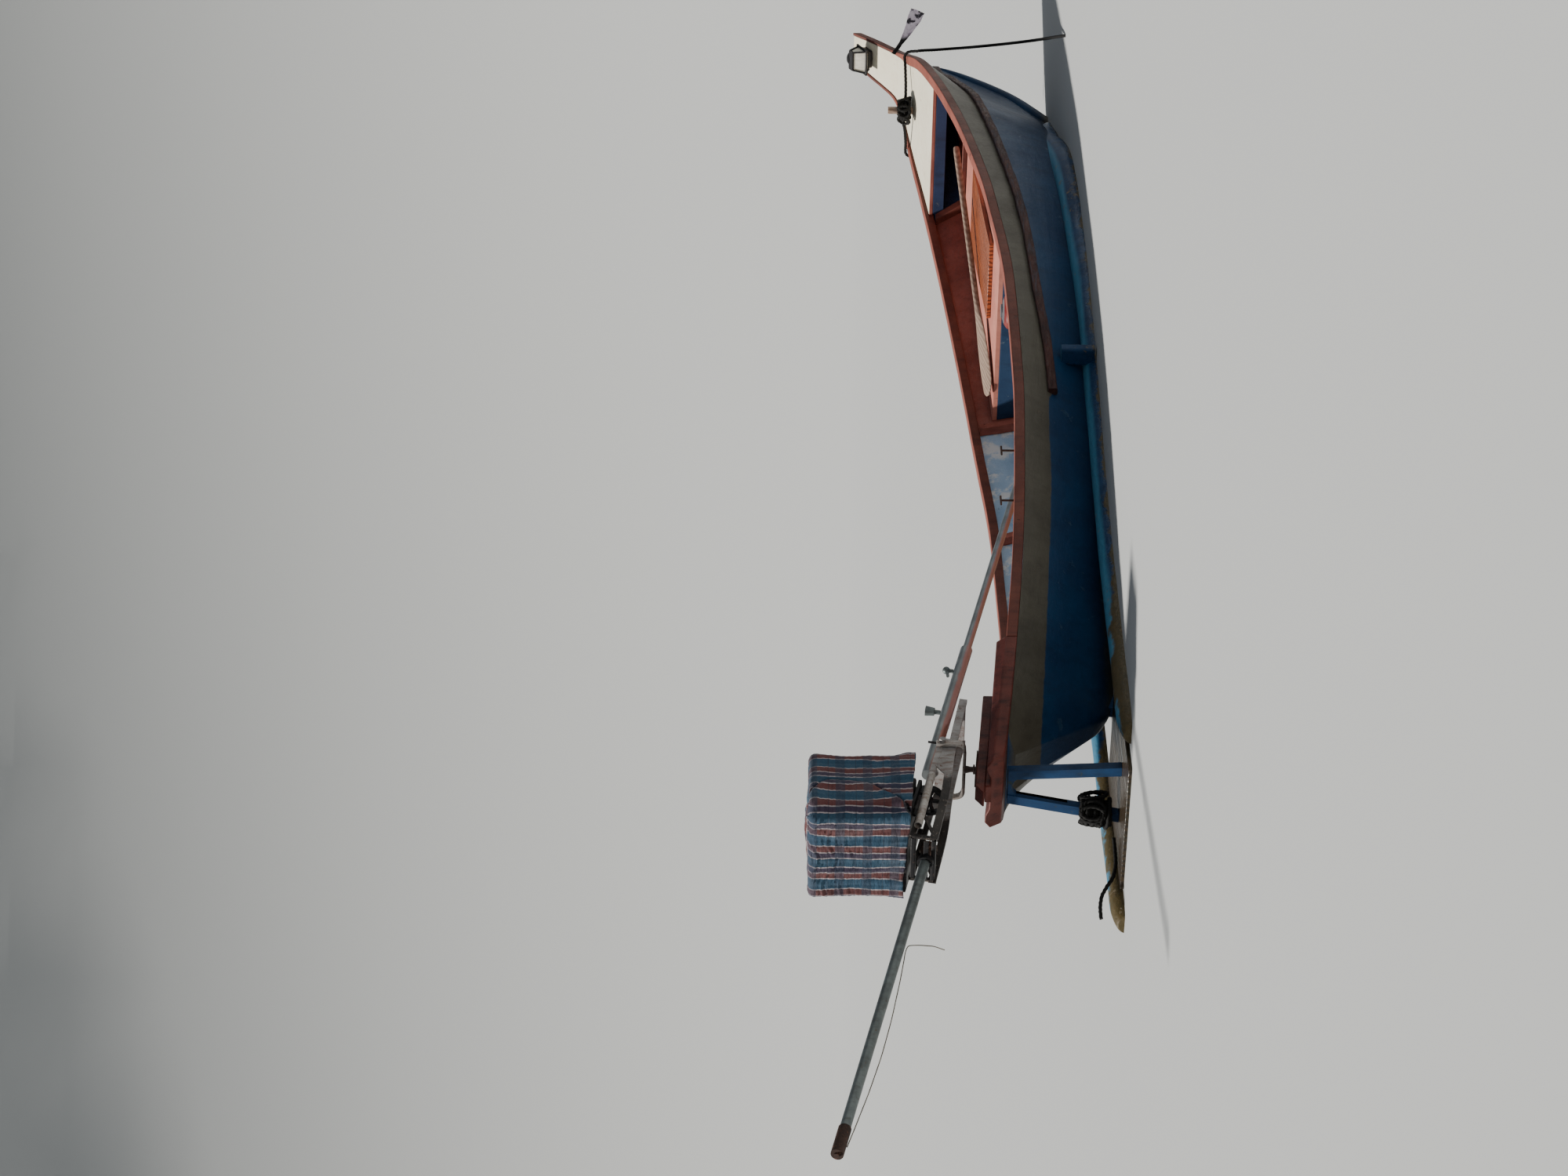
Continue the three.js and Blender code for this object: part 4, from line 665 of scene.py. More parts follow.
# %% Turns on the post and on the leg
def winding(name, low, high, inner, outer, turns, seed):
    """A helix from low to high and back, three times over like thread on a spool, while its radius grows from inner
    to outer and wanders a little."""
    s = np.linspace(0, 1, int(turns * 44))
    angle = 2 * np.pi * turns * s
    zigzag = np.abs((s * 3) % 2 - 1)
    height = low[2] + (high[2] - low[2]) * (0.06 + 0.88 * zigzag)
    radius = inner + (outer - inner) * s + 0.10 * (outer - inner) * wander(angle * 0.7, seed)
    share = (height - low[2]) / (high[2] - low[2])
    centre = np.asarray(low) + share[:, None] * (np.asarray(high) - np.asarray(low))
    rise = 0.004 * wander(angle * 1.3, seed + 5)
    path = centre + np.stack([radius * np.cos(angle), radius * np.sin(angle), rise], 1)
    return sweep(name, path, rope_outline(len(s), path_length(path)), (0, 0, 1))


def slack_loop(name, centre, facing, radius, drop, tilt):
    """A hanging loop: an ellipse of the given radius and drop in a plane turned to face a direction, leaning out."""
    s = np.linspace(0.06, 2 * np.pi - 0.06, 64)
    out_way = np.array([math.cos(facing), math.sin(facing), 0])
    across = np.array([-math.sin(facing), math.cos(facing), 0])
    path = np.asarray(centre) + (radius * np.sin(s))[:, None] * across \
        + (-drop * (1 - np.cos(s)) / 2)[:, None] * np.array([0, 0, 1.0]) \
        + (tilt * (1 - np.cos(s)) / 2)[:, None] * out_way
    return sweep(name, path, rope_outline(len(s), path_length(path)), out_way + np.array([0, 0, 0.02]))


def slack_loops(centre, spread, tilt, places):
    """Loops hung round a centre: each place is a direction in radians, a half width and a drop in metres."""
    return [slack_loop(f"loop_{i}", centre + spread * np.array([math.cos(a), math.sin(a), 0]), a, r, d, tilt)
            for i, (a, r, d) in enumerate(places)]


def lead(*route):
    """The last of a rope, from its winding to the place where it leaves for the gunwale."""
    path = smooth_path(np.array(route) * MM, 20)
    return sweep("lead", path, rope_outline(20, path_length(path)), (0, 0, 1))


POST_LOW, POST_HIGH = np.array([[2770, 0, 738], [2770, 0, 806]]) * MM
post_rope = join("post_rope_turns", [
    winding("turns", POST_LOW, POST_HIGH, 0.031, 0.058, 10, 3),
    lead([2805, 38, 772], [2824, 4, 770], [2822, -34, 768], [2817, -60, 766.5], [2819.5, -69, 766]),
    lead([2722, 10, 776], [2730, 40, 778], [2752, 58, 778], [2764, 74, 776.5], [2768, 84, 775]),
    *slack_loops(POST_HIGH, 0.050, 0.020, [(-2.2, 0.034, 0.060), (-1.1, 0.040, 0.064), (2.5, 0.036, 0.060),
                                           (0.6, 0.032, 0.058), (3.5, 0.030, 0.062)]),
])
finished(post_rope, rope_black, "hull", "black_rope", "bow_rope_coil")

LEG_FOOT = np.array([-3460, 118, 15.4]) * MM
LEG_TOP = np.array([-3415, 60, 478]) * MM


def on_leg(height):
    return LEG_FOOT + (LEG_TOP - LEG_FOOT) * (height - LEG_FOOT[2]) / (LEG_TOP[2] - LEG_FOOT[2])


leg_rope = join("leg_rope_turns", [
    winding("turns", on_leg(0.040), on_leg(0.180), 0.038, 0.062, 13, 8),
    *slack_loops(on_leg(0.176), 0.054, 0.014, [(-2.6, 0.038, 0.10), (-1.3, 0.034, 0.11), (2.4, 0.036, 0.09),
                                               (-0.3, 0.030, 0.09), (3.4, 0.034, 0.10)]),
])
finished(leg_rope, rope_black, "hull", "black_rope", "stern_rope_coil")

STERN_ROPE_TRAIL = np.array([
    [-3512, 196, 34], [-3545, 222, 30], [-3600, 252, 28], [-3660, 282, 40], [-3705, 306, 70],
    [-3745, 330, 92], [-3790, 352, 98], [-3830, 372, 96],
]) * MM
trail, path = rope("stern_rope_tail", STERN_ROPE_TRAIL, (0.1, 0.2, 1))
finished(trail, rope_black, "hull", "black_rope", "stern_rope_trail")

# %% [markdown]
# ## Hull
# The planked hull is one shell: an outside and an inside that follow the same section, 26 mm apart. The section is
# drawn at each station from four tables: the backbone, the turn of the bilge, the sheer, and how far the side swells
# between them. Subdividing a few stations by hand would drift from the gunwales, so the tables give as many stations
# and points as the surface needs.

# %% Hull tables, in millimetres
SHEER = [
    [-3485, 163, 545], [-3189, 266, 508], [-2860, 368, 474], [-2391, 510, 433], [-1900, 635, 408],
    [-1300, 733, 392], [-500, 775, 398], [300, 760, 447], [1100, 669, 517], [1900, 530, 606],
    [2500, 398, 689], [2700, 342, 722], [2900, 265, 756], [3000, 222, 771], [3100, 182, 789], [3200, 148, 822],
    [3300, 130, 882], [3400, 117, 949], [3545, 92, 1045],
]
BACKBONE = [
    [-3330, 90, 444], [-3223, 65, 333], [-2935, 14, 35], [-2600, 14, -40], [-2000, 14, -100],
    [-500, 14, -140], [1200, 14, -130], [2300, 14, -92], [2434, 14, -79], [2546, 14, -34],
    [2668, 14, 44], [2857, 14, 176], [3089, 14, 391], [3255, 14, 581], [3400, 16, 780], [3530, 18, 970],
]
BILGE = [
    [-3330, 94, 448], [-3223, 72, 338], [-2935, 34, 50], [-2600, 190, 34], [-2200, 330, 20],
    [-1800, 430, 10], [-1300, 530, 5], [-500, 640, 5], [300, 660, 10], [1000, 590, 22],
    [1600, 430, 38], [2100, 250, 56], [2434, 120, 74], [2546, 80, 90], [2668, 60, 130],
    [2857, 46, 225], [3089, 34, 420], [3255, 28, 602], [3400, 26, 798], [3530, 26, 984],
]
SIDE_BELLY = [
    [-3330, 1], [-2935, 1], [-2600, 6], [-2200, 10], [-1800, 12], [1000, 12], [1600, 9], [2000, 1],
    [2400, -30], [2700, -50], [2900, -50], [3089, -34], [3255, -8], [3400, 0],
]
RUB_RAIL = [
    [-1352, 213], [-1050, 221], [-560, 250], [-60, 268], [384, 299], [670, 324], [1040, 354], [1445, 386],
    [1880, 418], [2123, 438], [2400, 477], [2700, 530], [3000, 572], [3232, 592],
]
# Where the upper strake's beige meets the blue: station, height. From the rub rail's aft end on it follows the rail.
PAINT_LINE = [
    [-3427, 338], [-3222, 331], [-2809, 301], [-2506, 281], [-2165, 258], [-1886, 244], [-1592, 240], [-1400, 232],
    *RUB_RAIL, [3540, 700],
]
PLANKING = 26
GUNWALE_DEPTH = 46
BOTTOM_FULLNESS = 10
INSIDE_AFT, INSIDE_FORE = -3180, 3122


def half_section(x, inset, bottom_steps=10, side_steps=16):
    """Port half of the section at stations x, from keel to sheer, moved inwards by inset: stations × points × (y, z).
    The bottom and the side are straight between their ends plus a parabola, 4t(1 - t) times the swell."""
    x = np.asarray(x, float)[:, None]
    keel_half = np.maximum(smooth_value(BACKBONE, 1, x) - 0.2 * inset, 4)
    keel_z = smooth_value(BACKBONE, 2, x) + 1.35 * inset
    sheer_half = smooth_value(SHEER, 1, x) - inset - 4
    bilge_half = np.minimum(np.maximum(smooth_value(BILGE, 1, x) - 1.15 * inset, keel_half + 2), sheer_half - 2)
    bilge_z = np.maximum(smooth_value(BILGE, 2, x) + 0.75 * inset, keel_z + 3)
    sheer_z = np.maximum(smooth_value(SHEER, 2, x) - GUNWALE_DEPTH - 0.4, bilge_z + 4)
    t = np.linspace(0, 1, bottom_steps + 1)[None, :]
    belly = BOTTOM_FULLNESS * 4 * t * (1 - t) * np.minimum(1, bilge_half / 400)
    bottom = np.stack([keel_half + (bilge_half - keel_half) * t, keel_z + (bilge_z - keel_z) * t - belly], -1)
    t = np.linspace(0, 1, side_steps + 1)[None, 1:]
    belly = smooth_value(SIDE_BELLY, 1, x) * 4 * t * (1 - t)
    side = np.stack([bilge_half + (sheer_half - bilge_half) * t + belly, bilge_z + (sheer_z - bilge_z) * t], -1)
    return np.concatenate([bottom, side], 1)


def full_section(x, inset):
    """The whole section from the starboard sheer under the keel to the port sheer."""
    port = half_section(x, inset)
    return np.concatenate([port[:, ::-1] * [-1, 1], port], 1)


# %% Hull shell
HULL_AFT, RUN_UP, FOREFOOT, HULL_FORE = -3330, -2860, 2300, 3500
stations = np.unique(np.concatenate([
    np.linspace(HULL_AFT, RUN_UP, 20), np.linspace(RUN_UP, FOREFOOT, 110), np.linspace(FOREFOOT, HULL_FORE, 60),
    [INSIDE_AFT, INSIDE_FORE, INSIDE_AFT - 0.5, INSIDE_FORE + 0.5],
]))
outside = full_section(stations, 0)
inside = full_section(stations, PLANKING)[:, ::-1]
hollow = (stations >= INSIDE_AFT) & (stations <= INSIDE_FORE)
level = outside[:, -1:, 1]
inside[..., 1] = np.where(hollow[:, None], inside[..., 1], level)
rings = np.concatenate([outside, inside], 1)
grid = np.concatenate([np.broadcast_to(stations[:, None, None], (*rings.shape[:2], 1)), rings], -1) * MM
# Planks swell and shrink with the wet: the sides are a little fair and unfair along their length.
ripple = 1.2 * MM * wander(stations[:, None] / 260 + rings[..., 1] / 210, 4)
grid[..., 1] += np.sign(grid[..., 1]) * ripple * np.clip(np.abs(grid[..., 1]) / 0.3, 0, 1)
hull = skin("hull_planking", grid)
co = points_of(hull)
mark_points(hull, "above_paint_line", co[:, 2] - smooth_value(PAINT_LINE, 1, co[:, 0] / MM) * MM)
mark_points(hull, "inner_face", np.tile(np.arange(rings.shape[1]) >= outside.shape[1], len(stations)))
print("hull from", stations[0], "to", stations[-1], "with", len(co), "points")

# %% [markdown]
# Outside, the upper strake is beige and everything under the line is blue, darker towards the water as painted shade
# where the bottom turns down away from the sky, and green-brown at the waterline. Inside, the paint changes with the
# place: terracotta forward, pale blue-white amidships, dark blue under the foredeck. The masks come from the height
# over the paint line and the station, so the colours stay in bands that follow the hull.

# %% Hull paint
# Stations where the paint inside the hull changes, in metres.
PALE_FROM, WARM_FROM, DECK_FROM = -3.18, 0.548, 2.26
hull_paint, t, shader, place = new_material("hull_paint")
masks = group_node(t, weathering, place, Scale=1.3, Chips=0.16, Stains=0.45)
line = t.attribute("above_paint_line")
inner_face = t.attribute("inner_face")
split = t.node("ShaderNodeSeparateXYZ", {0: place}).outputs
ragged = t.times(t.minus(t.noise(place, 18, 5, 0.6), 0.5), 0.012)
beige = aged_colour(t, masks, (84, 80, 70), (70, 66, 58), (58, 52, 45))
blue = aged_colour(t, masks, (18, 58, 94), (12, 44, 78), (9, 32, 58))
# Painted shade: the outside blue darkens towards the water, where the bottom turns down and away from the sky.
shade_near_water = t.between(t.plus(split["Z"], t.times(ragged, 5)), 0.02, 0.13, 1.0, 0.0)
blue = t.mix(t.times(shade_near_water, 0.75), blue, (10, 28, 52))
blue = t.mix(t.times(masks["Chips"], 0.3), blue, (60, 92, 112))
beige = t.mix(t.times(masks["Chips"], 0.4), beige, (84, 72, 60))
outer = t.mix(t.between(t.plus(line, ragged), -0.003, 0.003), blue, beige)
algae = t.times(t.between(t.plus(split["Z"], t.times(ragged, 3)), 0.0, 0.05, 1.0, 0.0), 0.7)
outer = t.mix(algae, outer, (72, 66, 44))
pale = t.mix(masks["Tone"], (176, 200, 222), (132, 166, 198))
pale = t.mix(t.between(t.noise(place, 9, 8, 0.7), 0.5, 0.62), pale, (216, 220, 222))
pale = t.mix(masks["Chips"], pale, (104, 120, 134))
warm = t.mix(masks["Tone"], (150, 86, 74), (116, 60, 50))
warm = t.mix(t.times(t.between(t.noise(place, 26, 7, 0.7), 0.45, 0.7), 0.5), warm, (104, 52, 44))
under_deck = t.mix(masks["Tone"], (48, 72, 108), (30, 46, 74))
within = t.mix(t.between(split["X"], PALE_FROM, PALE_FROM + 0.02), blue, pale)
within = t.mix(t.between(split["X"], WARM_FROM, WARM_FROM + 0.004), within, warm)
within = t.mix(t.between(split["X"], DECK_FROM, DECK_FROM + 0.01), within, under_deck)
seams = t.noise(t.scaled(place, (0.35, 9.0, 9.0)), 3.2, 5, 0.6)
lumps = t.times(t.noise(place, 9, 7, 0.65), t.times(inner_face, 4.5))
height = t.plus(t.plus(masks["Height"], t.times(seams, 0.8)), lumps)
rough = t.between(masks["Height"], 0.2, 0.8, 0.34, 0.62)
surface(t, shader, t.mix(inner_face, outer, within), rough, height, 0.55, 0.006)
finished(hull, hull_paint, "hull", "hull_paint", "hull_shell")

# %% [markdown]
# ## Gunwales, rub rails and runners
# Long timbers that follow the hull: each is a rounded section carried along the sheer, the rub line or the bilge.
# The gunwale is wide amidships and closes in beside the bow plate. Years of rope and landing have worn the rub rail,
# so its section wanders. The runners are whole logs that stand a little out of the water.

# %% Gunwales
GUNWALE_AFT, GUNWALE_FORE = -2859.6, 3544.5
GUNWALE_WIDE, GUNWALE_NARROW = 58, 16
RAIL_THICK, RAIL_THIN = 30, 10


def gunwale_width(x):
    """Wide until the bow begins to rise, then it narrows beside the bow plate."""
    return GUNWALE_WIDE + (GUNWALE_NARROW - GUNWALE_WIDE) * eased(x, 2850, 3300)


def side_bar(name, x, y_in, y_out, z_low, z_high, side, squareness=7.0, sides=32, wear=0.0, seed=1):
    """A bar along one side of the boat with a rounded section between given inner, outer, lower and upper edges.
    wear moves its surface in and out by a wandering amount."""
    outline = soft_box_outline(1, 1, squareness, sides)
    middle_y, half_y = (y_in + y_out) / 2, (y_out - y_in) / 2
    middle_z, half_z = (z_low + z_high) / 2, (z_high - z_low) / 2
    turn = around(sides)
    worn = 1 + wear * wander(x[:, None] / 70 + 2.5 * np.sin(turn)[None, :] + np.cos(turn)[None, :], seed, 5)
    y = middle_y[:, None] + half_y[:, None] * outline[None, :, 0] * worn
    z = middle_z[:, None] + half_z[:, None] * outline[None, :, 1] * worn
    grid = np.stack([np.broadcast_to(x[:, None], y.shape), side * y, z], -1) * MM
    return skin(name, grid)


for side, place in SIDES:
    x = np.linspace(GUNWALE_AFT, GUNWALE_FORE, 260)
    outer = smooth_value(SHEER, 1, x)
    top = smooth_value(SHEER, 2, x)
    rail = side_bar(f"gunwale_{place}_cap", x, outer - gunwale_width(x), outer, top - GUNWALE_DEPTH, top, side,
                    9.0, wear=0.012, seed=3 + side)
    finished(rail, terracotta, "hull", "terracotta_paint", f"gunwale_{place}")


# %% Rub rails
def side_half(x, z):
    """Half beam of the planking's outside at the heights z, one for each station: the section is read as a
    piecewise straight line."""
    section = half_section(x, 0)
    lower, upper = section[:, :-1], section[:, 1:]
    held = (lower[..., 1] <= z[:, None]) & (z[:, None] <= upper[..., 1])
    i = np.where(held.any(1), held.argmax(1), section.shape[1] - 2)
    rows = np.arange(len(z))
    (y0, z0), (y1, z1) = lower[rows, i].T, upper[rows, i].T
    share = np.clip((z - z0) / np.maximum(z1 - z0, 1e-6), 0, 1)
    return y0 + (y1 - y0) * share


rub_paint, t, shader, place = new_material("rub_rail_paint")
masks = group_node(t, weathering, place, Scale=2.4, Chips=0.3, Stains=0.4)
lengthways = t.noise(t.scaled(place, (1.0, 9.0, 9.0)), 7, 8, 0.7)
colour = t.mix(masks["Tone"], (74, 38, 32), (50, 27, 25))
bare = t.between(lengthways, 0.50, 0.60)
along_rail = t.between(t.axis(place, "X"), -1.25, -0.6, 0.2, 0.85)
colour = t.mix(t.times(bare, along_rail), colour, (78, 72, 78))
dark_runs = t.between(t.noise(t.scaled(place, (1.0, 6.0, 6.0)), 13, 6, 0.7), 0.55, 0.65, 0.0, 0.7)
colour = t.mix(dark_runs, colour, (40, 30, 32))
height = t.plus(masks["Height"], t.times(lengthways, 1.5))
surface(t, shader, colour, t.between(lengthways, 0.4, 0.6, 0.45, 0.8), height, 0.9, 0.008)
for side, place in SIDES:
    x = np.linspace(RUB_RAIL[0][0], RUB_RAIL[-1][0] - 1, 300)
    middle = smooth_value(RUB_RAIL, 1, x)
    depth = RAIL_THICK + (RAIL_THIN - RAIL_THICK) * eased(x, 2000, RUB_RAIL[-1][0])
    face = side_half(x, middle)
    rail = side_bar(f"rub_rail_{place}_worn", x, face - 4, face + depth, middle - 20, middle + 20.5, side,
                    5.0, 28, wear=0.07, seed=11 + side)
    finished(rail, rub_paint, "hull", "terracotta_paint", f"rub_rail_{place}")

# %% Runners
RUNNER = [
    [-3850, 388, -12], [-3300, 392, -12], [-2700, 400, -12], [-2200, 430, -12], [-1800, 480, -12],
    [-1300, 560, -9], [-700, 650, -5], [-100, 690, 5], [300, 688, 14], [700, 655, 24], [1000, 595, 33],
    [1400, 460, 43], [1700, 335, 50], [2000, 215, 43], [2300, 90, 24], [2500, 30, -6],
]
RUNNER_HALF_WIDTH, RUNNER_HALF_HEIGHT = 76, 68
RUNNER_AFT, RUNNER_FORE = {-1: -3600, 1: -3850}, 2498
RUNNER_TAPER_AFT, RUNNER_TAPER_FORE = 120, 200
TAB_AFT, TAB_FORE, TAB_INNER, TAB_OUTER, TAB_LOW, TAB_HIGH = -1.073, -1.017, 0.640, 0.726, 0.010, 0.160


def runner_grid(aft, fore, side, seed):
    """A log along the bilge: an ellipse at each station, drawn in at both ends as a square root, with bark-like
    hollows that run along it."""
    x = aft + (fore - aft) * (0.5 - 0.5 * np.cos(np.linspace(0, np.pi, 280)))
    ends = np.clip(np.minimum((x - aft) / RUNNER_TAPER_AFT, (fore - x) / RUNNER_TAPER_FORE), 0, 1)
    size = 0.55 + 0.45 * np.sqrt(ends)
    turn = around(40)
    hollow = 1 + 0.035 * wander(x[:, None] / 330 + 1.7 * np.cos(turn) + 0.9 * np.sin(turn), seed) \
        + 0.012 * wander(x[:, None] / 60 + 7 * np.cos(turn) + 5 * np.sin(2 * turn), seed + 1)
    y = side * smooth_value(RUNNER, 1, x)[:, None] + RUNNER_HALF_WIDTH * size[:, None] * np.cos(turn) * hollow * 0.97
    z = smooth_value(RUNNER, 2, x)[:, None] + RUNNER_HALF_HEIGHT * size[:, None] * np.sin(turn) * hollow * 0.97
    return np.stack([np.broadcast_to(x[:, None], y.shape), y, z], -1) * MM


runner_paint, t, shader, place_socket = new_material("runner_paint")
masks = group_node(t, weathering, place_socket, Scale=1.5, Chips=0.22, Stains=0.6)
blue = aged_colour(t, masks, (20, 66, 106), (12, 46, 82), (10, 34, 60))
# Painted sunlight: the runner's blue turns paler where it faces the sky.
blue = t.mix(t.between(t.facing_up(), 0.55, 0.85, 0.0, 0.8), blue, (78, 138, 168))
edge = t.plus(t.axis(place_socket, "Z"), t.times(t.minus(t.noise(place_socket, 7, 8, 0.7), 0.5), 0.11))
weed = t.mix(t.noise(place_socket, 30, 6, 0.7), (104, 84, 50), (44, 50, 30))
weed_aft = t.between(t.axis(place_socket, "X"), -3.1, -2.3, 0.052, 0.004)
weed_share = t.minus(1.0, t.between(t.minus(edge, weed_aft), -0.006, 0.008))
blue = t.mix(weed_share, blue, weed)
blue = t.mix(t.times(masks["Chips"], 0.6), blue, (134, 116, 84))
height = t.plus(masks["Height"], t.noise(place_socket, 40, 6, 0.7))
surface(t, shader, blue, t.between(edge, 0.0, 0.05, 0.22, 0.6), height, 0.7, 0.008)
for side, place in SIDES:
    log = skin(f"runner_{place}_log", runner_grid(RUNNER_AFT[side], RUNNER_FORE, side, 20 + side))
    inner, outer = sorted([side * TAB_INNER, side * TAB_OUTER])
    tab = box_grid("tab", [TAB_AFT, inner, TAB_LOW], [TAB_FORE, outer, TAB_HIGH], 6, 6, along=2)
    log = join(f"runner_{place}_log", [log, tab])
    finished(log, runner_paint, "hull", "blue_paint", f"runner_{place}")

# %% [markdown]
# ## Solids that keep their shape
# Frames, ribs, decks and engine parts are already the right shape. Each gets its finish, and a short modifier stack:
# loose corners are merged, edges over 35 degrees stay crisp, and a bevel of a few millimetres catches the light on
# them as worn edges do. The bevel never moves a face, so nothing leaves its place.

# %% Clean shading for kept solids
def clean_shading():
    """Geometry nodes: merge doubled corners, then smooth every edge that turns less than 35 degrees."""
    tree = bpy.data.node_groups.new("clean_shading", "GeometryNodeTree")
    tree.interface.new_socket("Geometry", in_out="INPUT", socket_type="NodeSocketGeometry")
    tree.interface.new_socket("Geometry", in_out="OUTPUT", socket_type="NodeSocketGeometry")
    t = Tree(tree)
    given = tree.nodes.new("NodeGroupInput").outputs[0]
    merged = t.node("GeometryNodeMergeByDistance", {"Geometry": given, "Distance": 0.00005}).outputs[0]
    bare = t.node("GeometryNodeRemoveAttribute", {"Geometry": merged, "Name": "custom_normal"}).outputs[0]
    faces = t.node("GeometryNodeSetShadeSmooth", {"Geometry": bare, "Shade Smooth": True}, domain="FACE").outputs[0]
    fold = t.node("GeometryNodeInputMeshEdgeAngle").outputs["Unsigned Angle"]
    soft = t.node("FunctionNodeCompare", {0: fold, 1: FOLD}, operation="LESS_THAN").outputs[0]
    edges = t.node("GeometryNodeSetShadeSmooth", {"Geometry": faces, "Shade Smooth": soft}, domain="EDGE").outputs[0]
    tree.links.new(edges, tree.nodes.new("NodeGroupOutput").inputs[0])
    return tree


shading_tree = clean_shading()


def keep_solid(name, material, bevel):
    """Gives a kept solid its finish, clean shading and softened edges; bevel is in millimetres."""
    solid = nodes[name]
    if not solid.data.materials:
        solid.data.materials.append(material)
    for slot in solid.material_slots:
        slot.material = material
    solid.modifiers.new("clean", "NODES").node_group = shading_tree
    if bevel:
        edge = solid.modifiers.new("soft_edges", "BEVEL")
        edge.width = bevel * MM
        edge.segments = 2
        edge.limit_method = "ANGLE"
        edge.angle_limit = math.radians(38)


# The deck's aft edge wears the frame's red, and the pin below the yoke is dark: station and height in metres.
DECK_AFT, PIN_TOP = 2.2925, 0.652
deck_paint, t, shader, place = new_material("deck_paint")
masks = group_node(t, weathering, place, Scale=1.5, Chips=0.16, Stains=0.3)
colour = aged_colour(t, masks, (242, 235, 214), (230, 222, 198), (206, 190, 160), (186, 168, 140))
aft_edge = t.between(t.axis(place, "X"), DECK_AFT, DECK_AFT + 0.001, 1.0, 0.0)
colour = t.mix(aft_edge, colour, t.mix(masks["Tone"], (152, 96, 84), (112, 62, 54)))
surface(t, shader, colour, (0.35, 0.6), masks["Height"], 0.25, 0.004)

yoke_paint, t, shader, place = new_material("yoke_paint", 0.1)
masks = group_node(t, weathering, place, Scale=6.0, Chips=0.3, Stains=0.8)
colour = aged_colour(t, masks, (172, 168, 164), (138, 132, 126), (116, 90, 76), (88, 54, 42))
pin_share = t.between(t.axis(place, "Z"), PIN_TOP, PIN_TOP + 0.01, 1.0, 0.0)
colour = t.mix(pin_share, colour, t.mix(masks["Tone"], (62, 44, 38), (38, 30, 28)))
surface(t, shader, colour, (0.35, 0.65), masks["Height"], 0.5, 0.002)

# The deck beam wears painted shade: the dark blue of the shadow under the foredeck.
KEPT = {
    "keel": (leg_blue, 3), "stern_cap": (stern_red, 6), "engine_bed": (stern_red, 4), "bed_plate": (rust, 1),
    "stern_board": (wet_timber, 3), "stern_legs": (leg_blue, 4), "rib_stern": (terracotta_wall, 3),
    "rib_aft": (terracotta_wall, 3), "rib_middle": (terracotta_wall, 3), "rib_fore": (terracotta_wall, 3),
    "sole_planks": (sole_wood, 2), "fore_floor": (floor_paint, 2), "floor_riser": (riser_blue, 3),
    "fore_frame": (terracotta, 3), "foredeck": (deck_paint, 3), "bow_plate": (cream, 3), "deck_beam": (beam_shade_blue, 2),
    "mooring_post": (grey_wood, 2), "thole_pin_aft": (rust, 0), "thole_pin_fore": (rust, 0),
    "loose_board": (varnished, 2), "yoke": (yoke_paint, 1),
    "frame_tie_fore": (frame_paint, 1), "handle_seat": (frame_paint, 1),
    "engine_block": (black_iron, 8), "handle_tube": (handle_steel, 0.6),
    "grease_cup": (galvanised, 0.8), "clamp_lever": (galvanised, 0.8),
    "tail_tube": (galvanised, 0.8), "tail_bearing": (rust, 1), "tail_shaft": (rust, 1), "pulley": (black_iron, 1.2),
}
for name, (material, bevel) in KEPT.items():
    keep_solid(name, material, bevel)
print(len(KEPT), "solids finished")

# %% [markdown]
# ## Engine frame sides
# Each side is welded up from bent steel: a channel below that slopes with the frame, a lighter rail above, a flat
# post and a gusset aft, and a plate with its bolt at the pivot. All are drawn along the frame's own slope and then
# turned into place.
# Flanges make the channel: its section is a C, followed from station to station.

# %% Frame sides and side tube
PIVOT = np.array([-3.296, 0.0, 0.747])
TILT = math.radians(11.8)


def on_engine(points):
    """Points given along the tilted engine frame, in millimetres, as places on the boat."""
    x, y, z = np.asarray(points, float).T * MM
    turned = np.stack([x * math.cos(TILT) + z * math.sin(TILT), y, -x * math.sin(TILT) + z * math.cos(TILT)], 1)
    return turned + PIVOT


CHANNEL_LOW = [[-640, -95], [-350, -87], [0, -58], [345, -45]]
FRAME_INNER, FRAME_THICK = 99, 14
FRAME_AFT, FRAME_FORE, RAIL_FORE = -640, 345, 50
CHANNEL_HEIGHT, RAIL_LOW, RAIL_HIGH = 33, -4.0, 20.0
PLATE_AFT, PLATE_FORE, PLATE_TOP = -190, 52, 14
YOKE_ARM_OUTER = {-1: 132, 1: 153}


def engine_place(piece):
    """Moves a piece drawn along the frame, in metres from the pivot, to its tilted place on the boat."""
    return set_points(piece, on_engine(points_of(piece) / MM))


def channel_outline(y_in, y_out, z_low, z_high, web=4.0):
    """A C open inwards: the web stands outside, a flange leaves it above and below. Eight corners in order."""
    return np.array([[y_out, z_low], [y_out, z_high], [y_in, z_high], [y_in, z_high - web],
                     [y_out - web, z_high - web], [y_out - web, z_low + web], [y_in, z_low + web], [y_in, z_low]])


def frame_strip(name, x, low, high, side, web=4.0):
    """A channel section along the frame between two heights at each station x."""
    rings = np.stack([channel_outline(FRAME_INNER, FRAME_INNER + FRAME_THICK, a, b, web) for a, b in zip(low, high)])
    grid = np.concatenate([np.broadcast_to(x[:, None, None], (*rings.shape[:2], 1)), rings], -1)
    grid[..., 1] *= side
    return skin(name, grid * MM)


def rod(name, points, radius, sides, reference=(0, 0, 1)):
    """A round bar through points in millimetres."""
    outline = round_outline(np.full(len(points), radius * MM), sides)
    return sweep(name, np.array(points, float) * MM, outline, reference)


